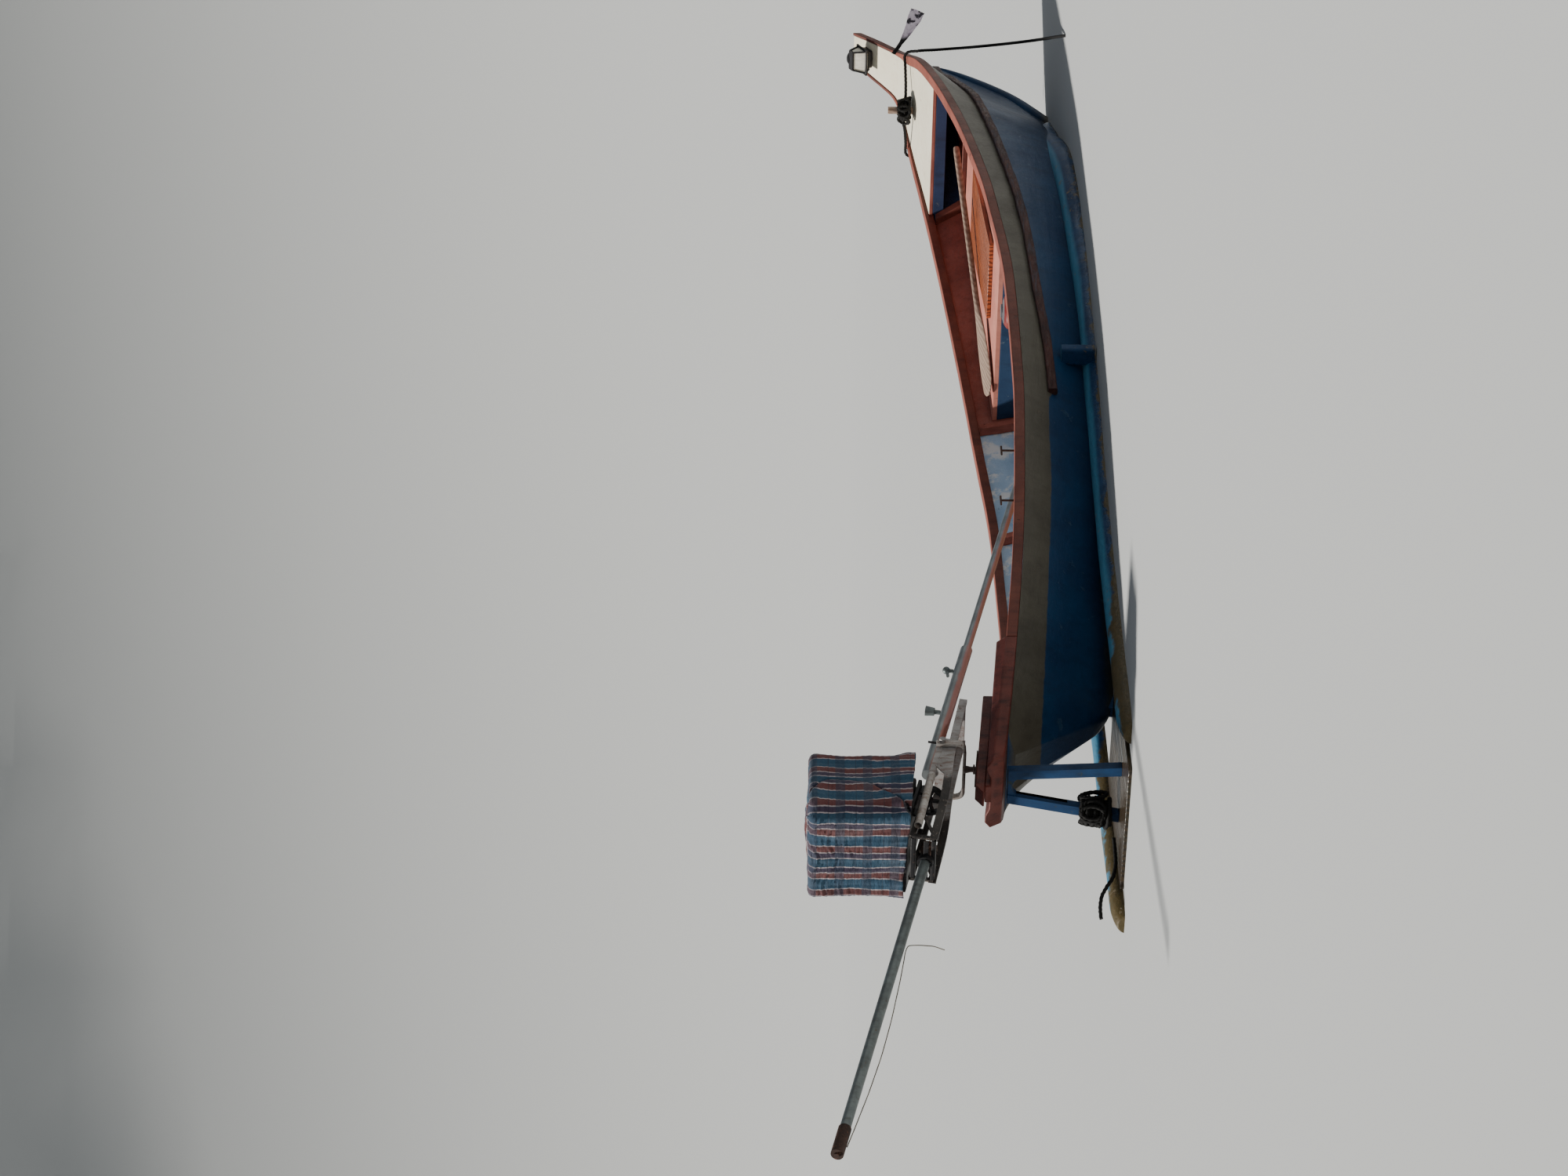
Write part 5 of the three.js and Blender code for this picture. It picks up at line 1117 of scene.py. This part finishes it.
def open_tube(name, start, end, outer, bore, sides=40):
    """A tube with an open bore: one skin runs along the outside, whose radii are given, and back along the inside."""
    line = np.linspace(start, end, len(outer)) * MM
    there_and_back = np.concatenate([line, line[::-1], line[:1]])
    circles = round_outline(np.concatenate([outer, np.full(len(outer), bore), outer[:1]]) * MM, sides)
    ahead = unit(line[-1] - line[0])
    across = unit(np.cross(ahead, [0, 0, 1.0]))
    grid = there_and_back[:, None] + circles[..., :1] * across + circles[..., 1:] * np.cross(across, ahead)
    return skin(name, grid, capped=False)


def flat_bar(name, start, end, width, side, y=(100, 110)):
    """A flat steel bar between two places along the frame, given as (x, z)."""
    start, end = np.asarray(start, float), np.asarray(end, float)
    ahead = unit(end - start)
    across = np.array([-ahead[1], ahead[0]]) * width / 2
    corners = np.array([start - across, end - across, end + across, start + across])
    grid = np.stack([np.column_stack([corners[:, 0], np.full(4, side * v), corners[:, 1]]) for v in y]) * MM
    return skin(name, grid)


for side, place in SIDES:
    x = np.linspace(FRAME_AFT, FRAME_FORE, 24)
    low = smooth_value(CHANNEL_LOW, 1, x)
    upper = np.linspace(FRAME_AFT, RAIL_FORE, 12)
    pieces = [
        frame_strip("channel", x, low, low + CHANNEL_HEIGHT, side),
        frame_strip("rail", upper, np.full(12, RAIL_LOW), np.full(12, RAIL_HIGH), side, 3.5),
        flat_bar("post", (-630, -82), (-630, 10), 18, side),
        flat_bar("gusset", (-612, -76), (-452, 4), 14, side, (101, 108)),
    ]
    plate_x = np.linspace(PLATE_AFT, PLATE_FORE, 10)
    plate_low = smooth_value(CHANNEL_LOW, 1, plate_x) + 22
    rise = np.clip((plate_x - PLATE_AFT) / 60, 0, 1)
    plate_high = plate_low + 12 + (PLATE_TOP - plate_low - 12) * rise
    corners = [(106, plate_low), (106, plate_high), (111, plate_high), (111, plate_low)]
    plate = np.stack([np.stack([plate_x, np.full(10, side * float(y)), z], 1) for y, z in corners], 1)
    pieces.append(skin("pivot_plate", plate * MM))
    arm = YOKE_ARM_OUTER[side]
    pieces.append(rod("bolt", [[0, side * y, 0] for y in (103, 118, arm + 8)], 8, 20))
    pieces.append(rod("head", [[0, side * y, 0] for y in (arm + 5.5, arm + 14.5)], 14, 6))
    frame_side = engine_place(join(f"frame_{place}_welded", pieces))
    finished(frame_side, frame_paint, "engine", "frame_paint", f"frame_side_{place}")

side_tube = engine_place(open_tube("side_tube_open", [-587, -128, -5], [-235, -128, 3], np.full(12, 16.5), 13))
finished(side_tube, yoke_paint, "engine", "galvanised_steel", "side_tube")

# %% [markdown]
# The tail tube ends in a boss that two flats hold in an open end frame: one bar below and one above, between the
# frame sides. The engine stands on a tray whose black edge shows under the cloth.

# %% Tail end frame, engine tray and stop pin
BOSS_RADII = np.array([32, 33, 33, 33, 33, 33, 33, 33, 33, 33, 33, 32.0])
end_frame = [open_tube("boss", [-667, 0, -50], [-640, 0, -50], BOSS_RADII, 24)]
for part, low, high, squareness in (
    ("low_bar", [-0.640, -0.098, -0.088], [-0.618, 0.098, -0.070], 7),
    ("high_bar", [-0.640, -0.098, -0.006], [-0.618, 0.098, 0.014], 7),
    ("flat", [-0.646, -0.098, -0.060], [-0.640, -0.030, -0.040], 8),
    ("flat", [-0.646, 0.030, -0.060], [-0.640, 0.098, -0.040], 8),
):
    end_frame.append(box_grid(part, low, high, squareness, 2, 1))
tail_socket = engine_place(join("tail_end_frame", end_frame))
finished(tail_socket, black_iron, "engine", "black_iron", "tail_flange")

tray_parts = [box_grid("tray", [-0.618, -0.196, 0.030], [-0.520, 0.196, 0.0495], 9, 8, 0),
              box_grid("tray", [-0.540, -0.140, 0.031], [-0.296, 0.140, 0.0485], 9, 8, 0)]
for side in (-1, 1):
    for foot in (-0.495, -0.345):
        middle = side * 0.106
        tray_parts.append(box_grid("foot", [foot, middle - 0.006, 0.0203], [foot + 0.040, middle + 0.006, 0.034], 9))
tray = engine_place(join("engine_tray", tray_parts))
finished(tray, black_iron, "engine", "black_iron", "engine_plate")

stop_pin = engine_place(rod("stop_pin", [[18, -106, 19], [18, -106, 63]], 5, 16, (0, 1, 0)))
finished(stop_pin, black_iron, "engine", "black_iron")

# %% [markdown]
# ## Paddle
# One plank: a broad flat blade with a round tip that draws in to a round shaft. The section along it is a
# superellipse whose two half sizes change with the distance from the tip.

# %% Paddle
PADDLE_TIP = np.array([640, 530, 374]) * MM
PADDLE_END = np.array([2080, -128, 516]) * MM
PADDLE_SIZES = [[0, 8, 4], [15, 38, 7], [60, 62, 9], [180, 68, 10], [330, 60, 11], [450, 40, 13], [540, 22, 15],
                [640, 16, 15.5], [1300, 16, 16], [1560, 17, 17], [1590, 15, 15]]
reach = np.linalg.norm(PADDLE_END - PADDLE_TIP)
run = np.concatenate([np.linspace(0, 0.06, 10), np.linspace(0.07, reach, 90)])
half_across = smooth_value(PADDLE_SIZES, 1, run / MM) * MM
half_thick = smooth_value(PADDLE_SIZES, 2, run / MM) * MM
line = PADDLE_TIP + run[:, None] * unit(PADDLE_END - PADDLE_TIP)
turn = around(32)
outline = np.stack([half_across[:, None] * np.cos(turn), half_thick[:, None] * np.sin(turn)], -1)
paddle = sweep("paddle_shaved", line, outline, (-0.10, -0.22, 0.97))
finished(paddle, grey_wood, "hull", "grey_timber", "paddle")

# %% [markdown]
# ## Stem swell
# At the forefoot the stem is built up into a thick rounded timber, faired into the planks and painted with them. It
# is the same section all the way, a soft ellipse, carried down the backbone and fading out under the water.

# %% Stem swell
SWELL_LOW, SWELL_HIGH = 2440, 3262
BELOW_LINE = -0.1
x = np.linspace(SWELL_LOW, SWELL_HIGH, 60)
z = smooth_value(BACKBONE, 2, x)
fade = np.sin(np.pi * np.clip((x - SWELL_LOW) / (SWELL_HIGH - SWELL_LOW), 0, 1)) ** 0.5
swell_path = np.stack([x, np.zeros_like(x), z], 1) * MM
swell_path[:, 0] -= 0.012
half_across = (26 + 30 * fade) * MM
half_along = (10 + 30 * fade) * MM
turn = around(40)
outline = np.stack([half_along[:, None] * np.cos(turn), half_across[:, None] * np.sin(turn)], -1)
outline *= (1 + 0.02 * wander(x[:, None] / 120 + 2 * np.sin(turn), 50))[..., None]
stem_swell = sweep("stem_swell", swell_path, outline, (0, 1, 0))
for mask, value in (("above_paint_line", BELOW_LINE), ("inner_face", 0)):
    mark_points(stem_swell, mask, np.full(len(stem_swell.data.vertices), value))
finished(stem_swell, hull_paint, "hull", "hull_paint")

# %% [markdown]
# ## Engine cover
# A plaid cotton cloth hangs over the engine. It lies on the top, hangs down all round in soft folds, and one pleat is
# tucked over on the starboard side. Cloth simulation could drape it, but the pleat lies in one place in the
# photograph, so the sheet is worked out directly: one parameter runs round the engine, the other from the hem over
# the top edge to the middle. Folds are waves that grow towards the hem, where cloth is free.

# %% Cover surface
COVER_AFT, COVER_FORE, COVER_HALF_WIDTH = -3.902, -3.512, 0.234
COVER_HEM_AFT, COVER_HEM_FORE, COVER_TOP, COVER_CORNER = 0.915, 0.888, 1.302, 0.030
SKIRT_ROWS, BEND_ROWS, TOP_ROWS = 62, 9, 25
CLOTH_LOW, CLOTH_THICKNESS = 0.9, 0.002
# The tucked pleat on the starboard side: height, station.
PLEAT = [[0.89, -3.890], [0.963, -3.808], [1.05, -3.740], [1.14, -3.712], [1.215, -3.712], [1.29, -3.775],
         [1.34, -3.84]]


def even_outline(half_length, half_width, count):
    """A superellipse in plan, square at three corners and rounder at the aft starboard one, with its points spread
    evenly along it; also the distance run to each point, and the outward direction there."""
    turn = np.linspace(0, 2 * np.pi, 4001)
    x, y = superellipse(turn, 15 - 10.2 * np.exp(-((turn - 1.25 * np.pi) / 0.62) ** 2))
    x, y = half_length * x, half_width * y
    run = distance_run(np.stack([x, y], 1))
    at = np.linspace(0, run[-1], count + 1)[:-1]
    points = np.stack([np.interp(at, run, x), np.interp(at, run, y)], -1)
    ahead = np.roll(points, -1, 0) - np.roll(points, 1, 0)
    return points, at, unit(np.stack([ahead[:, 1], -ahead[:, 0]], -1))


def cover_grid(columns=400):
    """Rows from the hem up (share of the skirt), round the top edge (a quarter circle) and over the top to its
    middle (a shrinking outline). Each point then moves outwards by the folds and the pleat."""
    plan, run, outward = even_outline((COVER_FORE - COVER_AFT) / 2, COVER_HALF_WIDTH, columns)
    middle = np.array([(COVER_FORE + COVER_AFT) / 2, 0])
    plan = plan + middle
    share = np.linspace(0, 1, SKIRT_ROWS)
    hem = COVER_HEM_AFT + (COVER_HEM_FORE - COVER_HEM_AFT) * (plan[:, 0] - COVER_AFT) / (COVER_FORE - COVER_AFT)
    hem = hem - 0.022 * np.clip((0.12 - plan[:, 1]) / 0.30, 0, 1) + 0.004 * wander(run * 40, 2, 5)
    edge = COVER_TOP - COVER_CORNER
    skirt_z = hem[None, :] + (edge - hem[None, :]) * share[:, None]
    bend = np.linspace(0, np.pi / 2, BEND_ROWS + 1)[1:]
    inset = np.concatenate([np.zeros(SKIRT_ROWS), COVER_CORNER * (1 - np.cos(bend))])
    arc_z = edge + COVER_CORNER * np.sin(bend)
    z = np.concatenate([skirt_z, np.broadcast_to(arc_z[:, None], (len(bend), columns))])
    xy = plan[None] - outward[None] * inset[:, None, None]
    shrink = 1 - np.linspace(0, 1, TOP_ROWS + 1)[1:] ** 0.9 * 0.985
    top_xy = middle + (xy[-1] - middle)[None] * shrink[:, None, None]
    top_z = COVER_TOP + 0.006 * (1 - shrink)[:, None] * np.ones(columns)
    swell = 0.014 * np.exp(-((top_xy[..., 0] + 3.84) / 0.06) ** 2 - ((top_xy[..., 1] + 0.10) / 0.13) ** 2)
    dip = 0.012 * np.exp(-((top_xy[..., 0] + 3.74) / 0.035) ** 2)
    top_z = top_z + swell - dip * np.clip(1.6 * (1 - shrink), 0, 1)[:, None]
    xy, z = np.concatenate([xy, top_xy]), np.concatenate([z, top_z])
    free = np.clip((edge - z) / (edge - CLOTH_LOW), 0, 1)
    low = free ** 1.4
    wave = (0.003 + 0.007 * low) * wander(run[None, :] * 30 + 1.2 * np.sin(5 * free), 6) \
        + 0.0022 * wander(run[None, :] * 95 + 3 * z, 7)
    crinkle = 0.0012 * wander(z * 620 + 2.2 * np.sin(run[None, :] * 21), 9, 3)
    belly = np.sin(np.pi * np.clip((z - CLOTH_LOW) / 0.4, 0, 1))
    sag = -0.010 * belly * np.exp(-((run[None, :] - run[0]) / 9) ** 2)
    starboard = np.clip((-xy[..., 1] - 0.12) / 0.06, 0, 1)
    past = smooth_value(PLEAT, 1, z) - xy[..., 0]
    lip = np.where(past > 0, np.exp(-past / 0.075), 0.0)
    groove = np.exp(-(past / 0.011) ** 2)
    pleat = starboard * (0.026 * lip - 0.024 * groove)
    aft_face = np.clip((COVER_AFT + 0.05 - xy[..., 0]) / 0.03, 0, 1)
    lifted = np.clip((z - 1.0) / 0.2, 0, 1) * aft_face
    rucks = 0.005 * lifted * np.abs(wander(z * 95 + 7 * run[None, :] + 2 * np.sin(run[None, :] * 26), 18, 3))
    bulge = 0.012 * belly * np.exp(-((run[None, :] - 0.90) / 0.16) ** 2)
    on_top = np.concatenate([np.zeros(SKIRT_ROWS + BEND_ROWS), np.ones(TOP_ROWS)])
    push = (wave + crinkle + sag + pleat + rucks + bulge) * (1 - on_top)[:, None]
    xy = xy + outward * push[..., None]
    ruck = 0.006 * wander(xy[..., 0] * 34 + xy[..., 1] * 12, 15) + 0.004 * wander(xy[..., 1] * 60 - xy[..., 0] * 20, 16)
    loose = np.concatenate([np.zeros(SKIRT_ROWS + BEND_ROWS), np.linspace(0, 1, TOP_ROWS) ** 0.3])
    z = z + on_top[:, None] * ruck * loose[:, None]
    corner = np.exp(-((xy[..., 0] - COVER_FORE) / 0.03) ** 2 - ((xy[..., 1] + COVER_HALF_WIDTH) / 0.04) ** 2)
    xy[..., 0] += 0.026 * corner * np.clip((0.965 - z) / 0.06, 0, 1)
    return np.concatenate([xy, z[..., None]], -1), run, on_top, starboard * groove * (1 - on_top)[:, None]


grid, run, on_top, pleat_shadow_line = cover_grid()
cover = skin("plaid_cover", grid, capped=False)
weave_place = np.stack(np.broadcast_arrays(run[None, :], grid[..., 2], on_top[:, None]), -1)
mark_points(cover, "weave", weave_place, "FLOAT_VECTOR")
# The groove of the tucked pleat is marked so that the cloth can carry painted shadow there.
mark_points(cover, "crease", pleat_shadow_line)
thicken(cover, CLOTH_THICKNESS, -1)
cloth_area = np.linalg.norm(np.cross(np.diff(grid, axis=0)[:, :-1], np.diff(grid, axis=1)[:-1]), axis=-1).sum()
cloth_area = round(float(cloth_area), 3)
print("cover cloth", cloth_area, "m2")

# %% [markdown]
# The plaid is woven: broad bands of teal, mauve and brick red with thin white lines, mirrored about each teal band,
# and fainter bands across. A seersucker weave puckers, so the height has fine wrinkles that run across the cloth.
# The stripes follow the distance run round the cloth on the sides, and the station on the top.

# %% Plaid
plaid, given, out, t = new_group("plaid_cotton", {"Period": 0.224}, ["Height"])
plaid.interface.new_socket("Color", in_out="OUTPUT", socket_type="NodeSocketColor")
out = plaid.nodes["Group Output"].inputs
split = t.node("ShaderNodeSeparateXYZ", {0: given["Vector"]}).outputs
waver = t.times(t.minus(t.noise(given["Vector"], 9, 4, 0.6), 0.5), 0.018)
phase = t.math("FRACT", t.math("DIVIDE", t.plus(split["X"], waver), given["Period"]))
fold = t.math("ABSOLUTE", t.minus(t.times(phase, 2.0), 1.0))
bands = t.node("ShaderNodeValToRGB", {0: fold})
ramp = bands.color_ramp
ramp.interpolation = "CONSTANT"
WEAVE = [(0.0, (24, 62, 84)), (0.19, (160, 150, 152)), (0.235, (50, 40, 62)), (0.44, (156, 146, 148)),
         (0.485, (88, 44, 44)), (0.74, (160, 150, 152)), (0.785, (26, 66, 90))]
for position, colour in WEAVE:
    stop = ramp.elements.new(position) if position > 0 else ramp.elements[0]
    stop.color = srgb(*colour)
ramp.elements.remove(ramp.elements[-1])
across = t.math("FRACT", t.math("DIVIDE", split["Y"], 0.112))
dark_band = t.between(t.math("ABSOLUTE", t.minus(across, 0.5)), 0.16, 0.18, 0.55, 0.0)
thin_line = t.between(t.math("ABSOLUTE", t.minus(across, 0.93)), 0.014, 0.02, 0.4, 0.0)
threads = t.noise(t.scaled(given["Vector"], (1500, 160, 1)), 1.0, 2, 0.5)
colour = t.mix(dark_band, bands.outputs["Color"], (22, 44, 66))
colour = t.mix(thin_line, colour, (24, 30, 44))
colour = t.mix(t.times(t.between(threads, 0.3, 0.7), 0.08), colour, (150, 146, 144))
worn = t.between(t.noise(given["Vector"], 6, 6, 0.65), 0.45, 0.8, 0.0, 0.1)
colour = t.mix(worn, colour, (164, 168, 170))
t.tree.links.new(colour, out["Color"])
pucker = t.noise(t.scaled(given["Vector"], (24, 130, 1)), 1.0, 5, 0.6)
crease = t.noise(t.scaled(given["Vector"], (7, 22, 1)), 1.0, 5, 0.55)
height = t.plus(t.times(pucker, 0.16), t.times(crease, 1.0))
t.tree.links.new(t.plus(height, t.times(threads, 0.06)), out["Height"])

plaid_cloth, t, shader, place = new_material("plaid_cloth")
weave = t.attribute("weave", "Vector")
weave_parts = t.node("ShaderNodeSeparateXYZ", {0: weave}).outputs
side_cloth = group_node(t, plaid, weave)
top_cloth = group_node(t, plaid, place)
top_share = t.between(weave_parts["Z"], 0.4, 0.6)
pleat_shadow_share = t.attribute("crease")
cloth_colour = t.mix(top_share, side_cloth["Color"], top_cloth["Color"])
# Painted shadow: the tucked pleat's groove, shaded by the overlapping cloth, turns dark navy.
cloth_colour = t.mix(t.between(pleat_shadow_share, 0.08, 0.55, 0.0, 0.92), cloth_colour, (18, 22, 34))
shader.inputs["Sheen Weight"].default_value = 0.08
shader.inputs["Sheen Roughness"].default_value = 0.5
mixed = t.plus(t.times(side_cloth["Height"], t.minus(1.0, top_share)), t.times(top_cloth["Height"], top_share))
surface(t, shader, cloth_colour, t.between(side_cloth["Height"], 0.4, 1.1, 0.95, 0.78), mixed, 1.0, 0.014)
finished(cover, plaid_cloth, "engine", "plaid_cotton", "engine_cover")

# %% [markdown]
# ## Small gear
# Pieces a crew would miss at once if they were gone: the ribbon at the bow, the lantern on the bow plate, the red
# canister amidships, and the thin cord slung under the tail tube.

# %% Cord under the tail tube
TAIL_CORD = on_engine([
    [-2400, 0, -78], [-2380, 0, -79], [-2250, 0, -88], [-2050, 0, -99], [-1850, 0, -104], [-1650, 0, -101],
    [-1450, 0, -92], [-1300, 0, -83], [-1230, 0, -78], [-1195, 0, -86], [-1185, 0, -120], [-1178, 0, -170],
    [-1190, 0, -225],
])
TAIL_CORD_RADIUS = 2.5 * MM
tail_cord_path = smooth_path(TAIL_CORD, 220)
tail_cord = sweep("tail_cord_line", tail_cord_path,
                  rope_outline(220, path_length(tail_cord_path), TAIL_CORD_RADIUS, 0.018, 10), (0, 1, 0))
grey_cord = aged("grey_cord", (120, 114, 104), (92, 86, 78), (70, 64, 58), (60, 56, 50), 9.0, 0.2, 0.4, (0.75, 0.95),
                 strength=0.4, distance=0.001)
finished(tail_cord, grey_cord, "engine", "black_rope", "tail_cord")
print("tail cord", round(path_length(tail_cord_path), 3), "m")

# %% Ribbon at the bow
RIBBON_ROOT = np.array([3162, -149, 829]) * MM
RIBBON_RUN = np.array([230, -157, -133]) * MM
RIBBON_TIED = 3.235


def ribbon_band(name, width, fall, side_shift, seed):
    """A band of thin cloth: along it, the straight run plus a sag of fall; across it, the width narrows to the tied
    root, and both edges flutter by waves that grow with the distance from the root."""
    s = np.linspace(0, 1, 60)[:, None]
    v = np.linspace(-0.5, 0.5, 13)[None, :]
    ahead = unit(RIBBON_RUN)
    level = unit(np.cross([0, 0, 1.0], ahead))
    up = np.cross(ahead, level)
    spread = width * (0.30 + 0.70 * np.clip((s - 0.25) / 0.55, 0, 1))
    flutter = 0.007 * s * wander(s * 15 + v * 5, seed) + 0.0025 * wander(s * 40 + v * 16, seed + 1)
    place = RIBBON_ROOT + s[..., None] * RIBBON_RUN + (spread * v)[..., None] * up
    place = place + flutter[..., None] * level + (side_shift * s ** 1.5)[..., None] * up
    place[..., 2] -= fall * (s * (1 - s))
    return skin(name, place, ring=False)


ribbon = ribbon_band("bow_ribbon_band", 0.074, 0.05, 0.0, 31)
lower_band = ribbon_band("band", 0.022, 0.07, -0.034, 37)
ribbon = join("bow_ribbon_band", [ribbon, lower_band])
thicken(ribbon, 0.0008, 0)
ribbon_cloth, t, shader, place = new_material("pale_ribbon")
smudge = t.noise(place, 22, 7, 0.7)
colour = t.mix(t.between(smudge, 0.42, 0.62), (216, 204, 216), (176, 158, 176))
colour = t.mix(t.between(t.noise(place, 13, 5, 0.6), 0.52, 0.58), colour, (52, 48, 56))
root_share = t.between(t.axis(place, "X"), RIBBON_TIED, RIBBON_TIED + 0.03, 1.0, 0.0)
colour = t.mix(root_share, colour, (26, 24, 26))
threads = t.noise(place, 900, 2, 0.5)
surface(t, shader, colour, t.between(threads, 0.3, 0.7, 0.6, 0.8), t.plus(threads, t.times(smudge, 4)), 0.3, 0.001)
finished(ribbon, ribbon_cloth, "hull", "pale_ribbon", "bow_ribbon")

# %% [markdown]
# The lantern is a small four-sided lamp that leans with the rising bow plate: a dark frame of flat bars round pale
# ribbed panes, a foot below and a round back. The bars are drawn one by one from the corners of the body, because
# the dark lines between the panes are what one sees of it from a distance.

# %% Lantern
LANTERN_X, LANTERN_Y, LANTERN_TILT = 3412, -8, -0.55
LANTERN_LENGTH, LANTERN_WIDTH, LANTERN_HEIGHT, LANTERN_FOOT = 112, 140, 84, 24
lantern_origin = np.array([LANTERN_X, LANTERN_Y, smooth_value(SHEER, 2, LANTERN_X) + 2]) * MM


def lean_lantern(piece):
    """Turns a piece drawn upright about the y axis by the lantern's lean and sets it on the bow plate."""
    x, y, z = points_of(piece).T
    c, s = math.cos(LANTERN_TILT), math.sin(LANTERN_TILT)
    set_points(piece, np.stack([x * c + z * s, y, -x * s + z * c], 1) + lantern_origin)


half_l, half_w = LANTERN_LENGTH / 2 * MM, LANTERN_WIDTH / 2 * MM
low_z, high_z = (LANTERN_FOOT - 1) * MM, (LANTERN_FOOT - 1 + LANTERN_HEIGHT) * MM
waist_z = low_z + 0.34 * (high_z - low_z)
# Height, share of the full length, share of the full width, and place fore and aft: a narrow foot, a wide waist, and
# a top that leans forward over a long sloping aft pane.
BODY_SHAPE = [[low_z, 0.66, 0.70, -0.012], [waist_z - 0.002, 0.97, 0.97, -0.012], [waist_z + 0.002, 0.93, 0.93, -0.012],
              [high_z, 0.36, 0.76, 0.012]]


def body_ring(z, grow=0.0):
    """Half length, half width and middle of the body at the height z, made larger by grow."""
    rows = np.array(BODY_SHAPE)
    length, width, middle = (np.interp(z, rows[:, 0], rows[:, k]) for k in (1, 2, 3))
    return (half_l - 0.012) * length + grow, half_w * width + grow, middle


def corner_bar(z0, z1, sx, sy, half=0.0045):
    """A square bar up one corner of the body between two heights."""
    heights = np.linspace(z0, z1, 6)
    size_l, size_w, middle = body_ring(heights)
    path = np.stack([middle + sx * size_l, sy * size_w, heights], 1)
    return sweep("corner", path, np.broadcast_to(soft_box_outline(half, half, 6, 12), (6, 12, 2)), (0, 1, 0.01))


def ring_bar(z, half, height, grow=0.0):
    """A flat hoop round the body at the height z: a rounded rectangle of four straight bars."""
    size_l, size_w, middle = body_ring(z, grow)
    hoop = []
    for s in (-1, 1):
        ends = [(middle - size_l, middle + size_l, s * size_w, s * size_w),
                (middle + s * size_l, middle + s * size_l, -size_w, size_w)]
        for along, (x0, x1, y0, y1) in enumerate(ends):
            hoop.append(box_grid("hoop", [x0 - half, y0 - half, z - height], [x1 + half, y1 + half, z + height],
                                 6, 1, along))
    return hoop


bars = [corner_bar(low, high, sx, sy) for low, high in ((low_z, waist_z), (waist_z, high_z))
        for sx in (-1, 1) for sy in (-1, 1)]
bars += ring_bar(waist_z, 0.006, 0.005, 0.004) + ring_bar(low_z + 0.004, 0.005, 0.005)
top_l, top_w, top_x = body_ring(high_z, 0.004)
bars.append(box_grid("top_plate", [top_x - top_l, -top_w, high_z - 0.006], [top_x + top_l, top_w, high_z + 0.004],
                     10, 2, 2))
bars.append(box_grid("foot", [-0.040, -0.052, 0.0], [0.036, 0.052, low_z + 0.004], 9, 2, 2))
back_x = np.array([0.022, 0.028, 0.040, 0.050, 0.055, 0.056])
back_size = np.array([0.044, 0.050, 0.050, 0.044, 0.030, 0.004])
back_path = np.stack([back_x, np.zeros(6), np.full(6, (low_z + high_z) / 2 + 0.004)], 1)
bars.append(sweep("back", back_path, round_outline(back_size, 36), (0, 0, 1)))
lantern_frame = join("lantern_frame", bars)
lean_lantern(lantern_frame)

pane_z = np.linspace(low_z + 0.004, high_z - 0.004, 24)
pane_l, pane_w, pane_x = body_ring(pane_z, -0.003)
PANE_POINTS, PANE_RIBS = 160, 40
outline = soft_box_outline(1, 1, 16, PANE_POINTS)
ribs = 1 + 0.006 * np.cos(PANE_RIBS * around(PANE_POINTS))
pane_grid = np.concatenate([
    outline[None] * np.stack([pane_l, pane_w], -1)[:, None] * ribs[None, :, None],
    np.broadcast_to(pane_z[:, None, None], (24, PANE_POINTS, 1)),
], -1)
pane_grid[..., 0] += pane_x[:, None]
lantern_panes = skin("lantern_panes", pane_grid)
lean_lantern(lantern_panes)
pane_finish = aged("lantern_panes", (224, 220, 206), (204, 198, 184), (176, 168, 150), (150, 142, 126), 7.0, 0.12, 0.4,
                   (0.2, 0.4), strength=0.15, distance=0.001)
finished(lantern_frame, lantern_black, "hull", "lantern_frame", "lantern")
finished(lantern_panes, pane_finish, "hull", "lantern_frame", "lantern")

# %% [markdown]
# The canister is a moulded plastic drum: a lathe shape with rolled hoops, a domed top and a screwed cap. Its profile
# is a list of radii and heights, spun about the upright axis.

# %% Canister
CANISTER_X, CANISTER_Y, CANISTER_BASE = 0.400, -0.092, 0.0865
CAP_LOW = 0.334
CANISTER_PROFILE = np.array([
    [0.3, 2], [78, 0], [87, 3], [91.5, 10], [92, 22], [89, 28], [89, 34], [92, 40], [92, 100], [89.5, 105],
    [89.5, 113], [92, 118], [92, 196], [90, 206], [91, 214], [91, 222], [88, 230], [82, 237], [70, 245],
    [54, 252], [40, 255], [34, 256], [34, 258], [33, 259], [34, 260], [34, 262], [32, 263.4], [10, 263.4], [0.3, 263.4],
])


def lathe(name, profile, centre, sides=96, wobble=0.0):
    """A profile of radii and heights in millimetres spun about the z axis at centre. wobble dents it a little."""
    turn = around(sides)
    radius, height = profile[:, :1] * MM, profile[:, 1:] * MM
    dent = 1 + wobble * wander(np.cos(turn) * 2 + height * 9, 40)
    grid = np.stack(np.broadcast_arrays(
        centre[0] + radius * dent * np.cos(turn), centre[1] + radius * dent * np.sin(turn), centre[2] + height), -1)
    return skin(name, grid)


drum = lathe("red_drum", CANISTER_PROFILE, (CANISTER_X, CANISTER_Y, CANISTER_BASE), wobble=0.012)
red_drum, t, shader, place = new_material("red_drum")
masks = group_node(t, weathering, place, Scale=5.0, Chips=0.12, Stains=0.4)
colour = aged_colour(t, masks, (134, 34, 30), (112, 26, 24), (88, 34, 30))
dust = t.between(t.noise(place, 16, 6, 0.65), 0.45, 0.8, 0.0, 0.3)
colour = t.mix(dust, colour, (168, 120, 108))
cap_share = t.between(t.axis(place, "Z"), CAP_LOW, CAP_LOW + 0.001)
colour = t.mix(cap_share, colour, t.mix(masks["Tone"], (120, 116, 118), (90, 88, 92)))
surface(t, shader, colour, (0.3, 0.5), masks["Height"], 0.15, 0.001)
finished(drum, red_drum, "hull", "red_plastic", "canister")
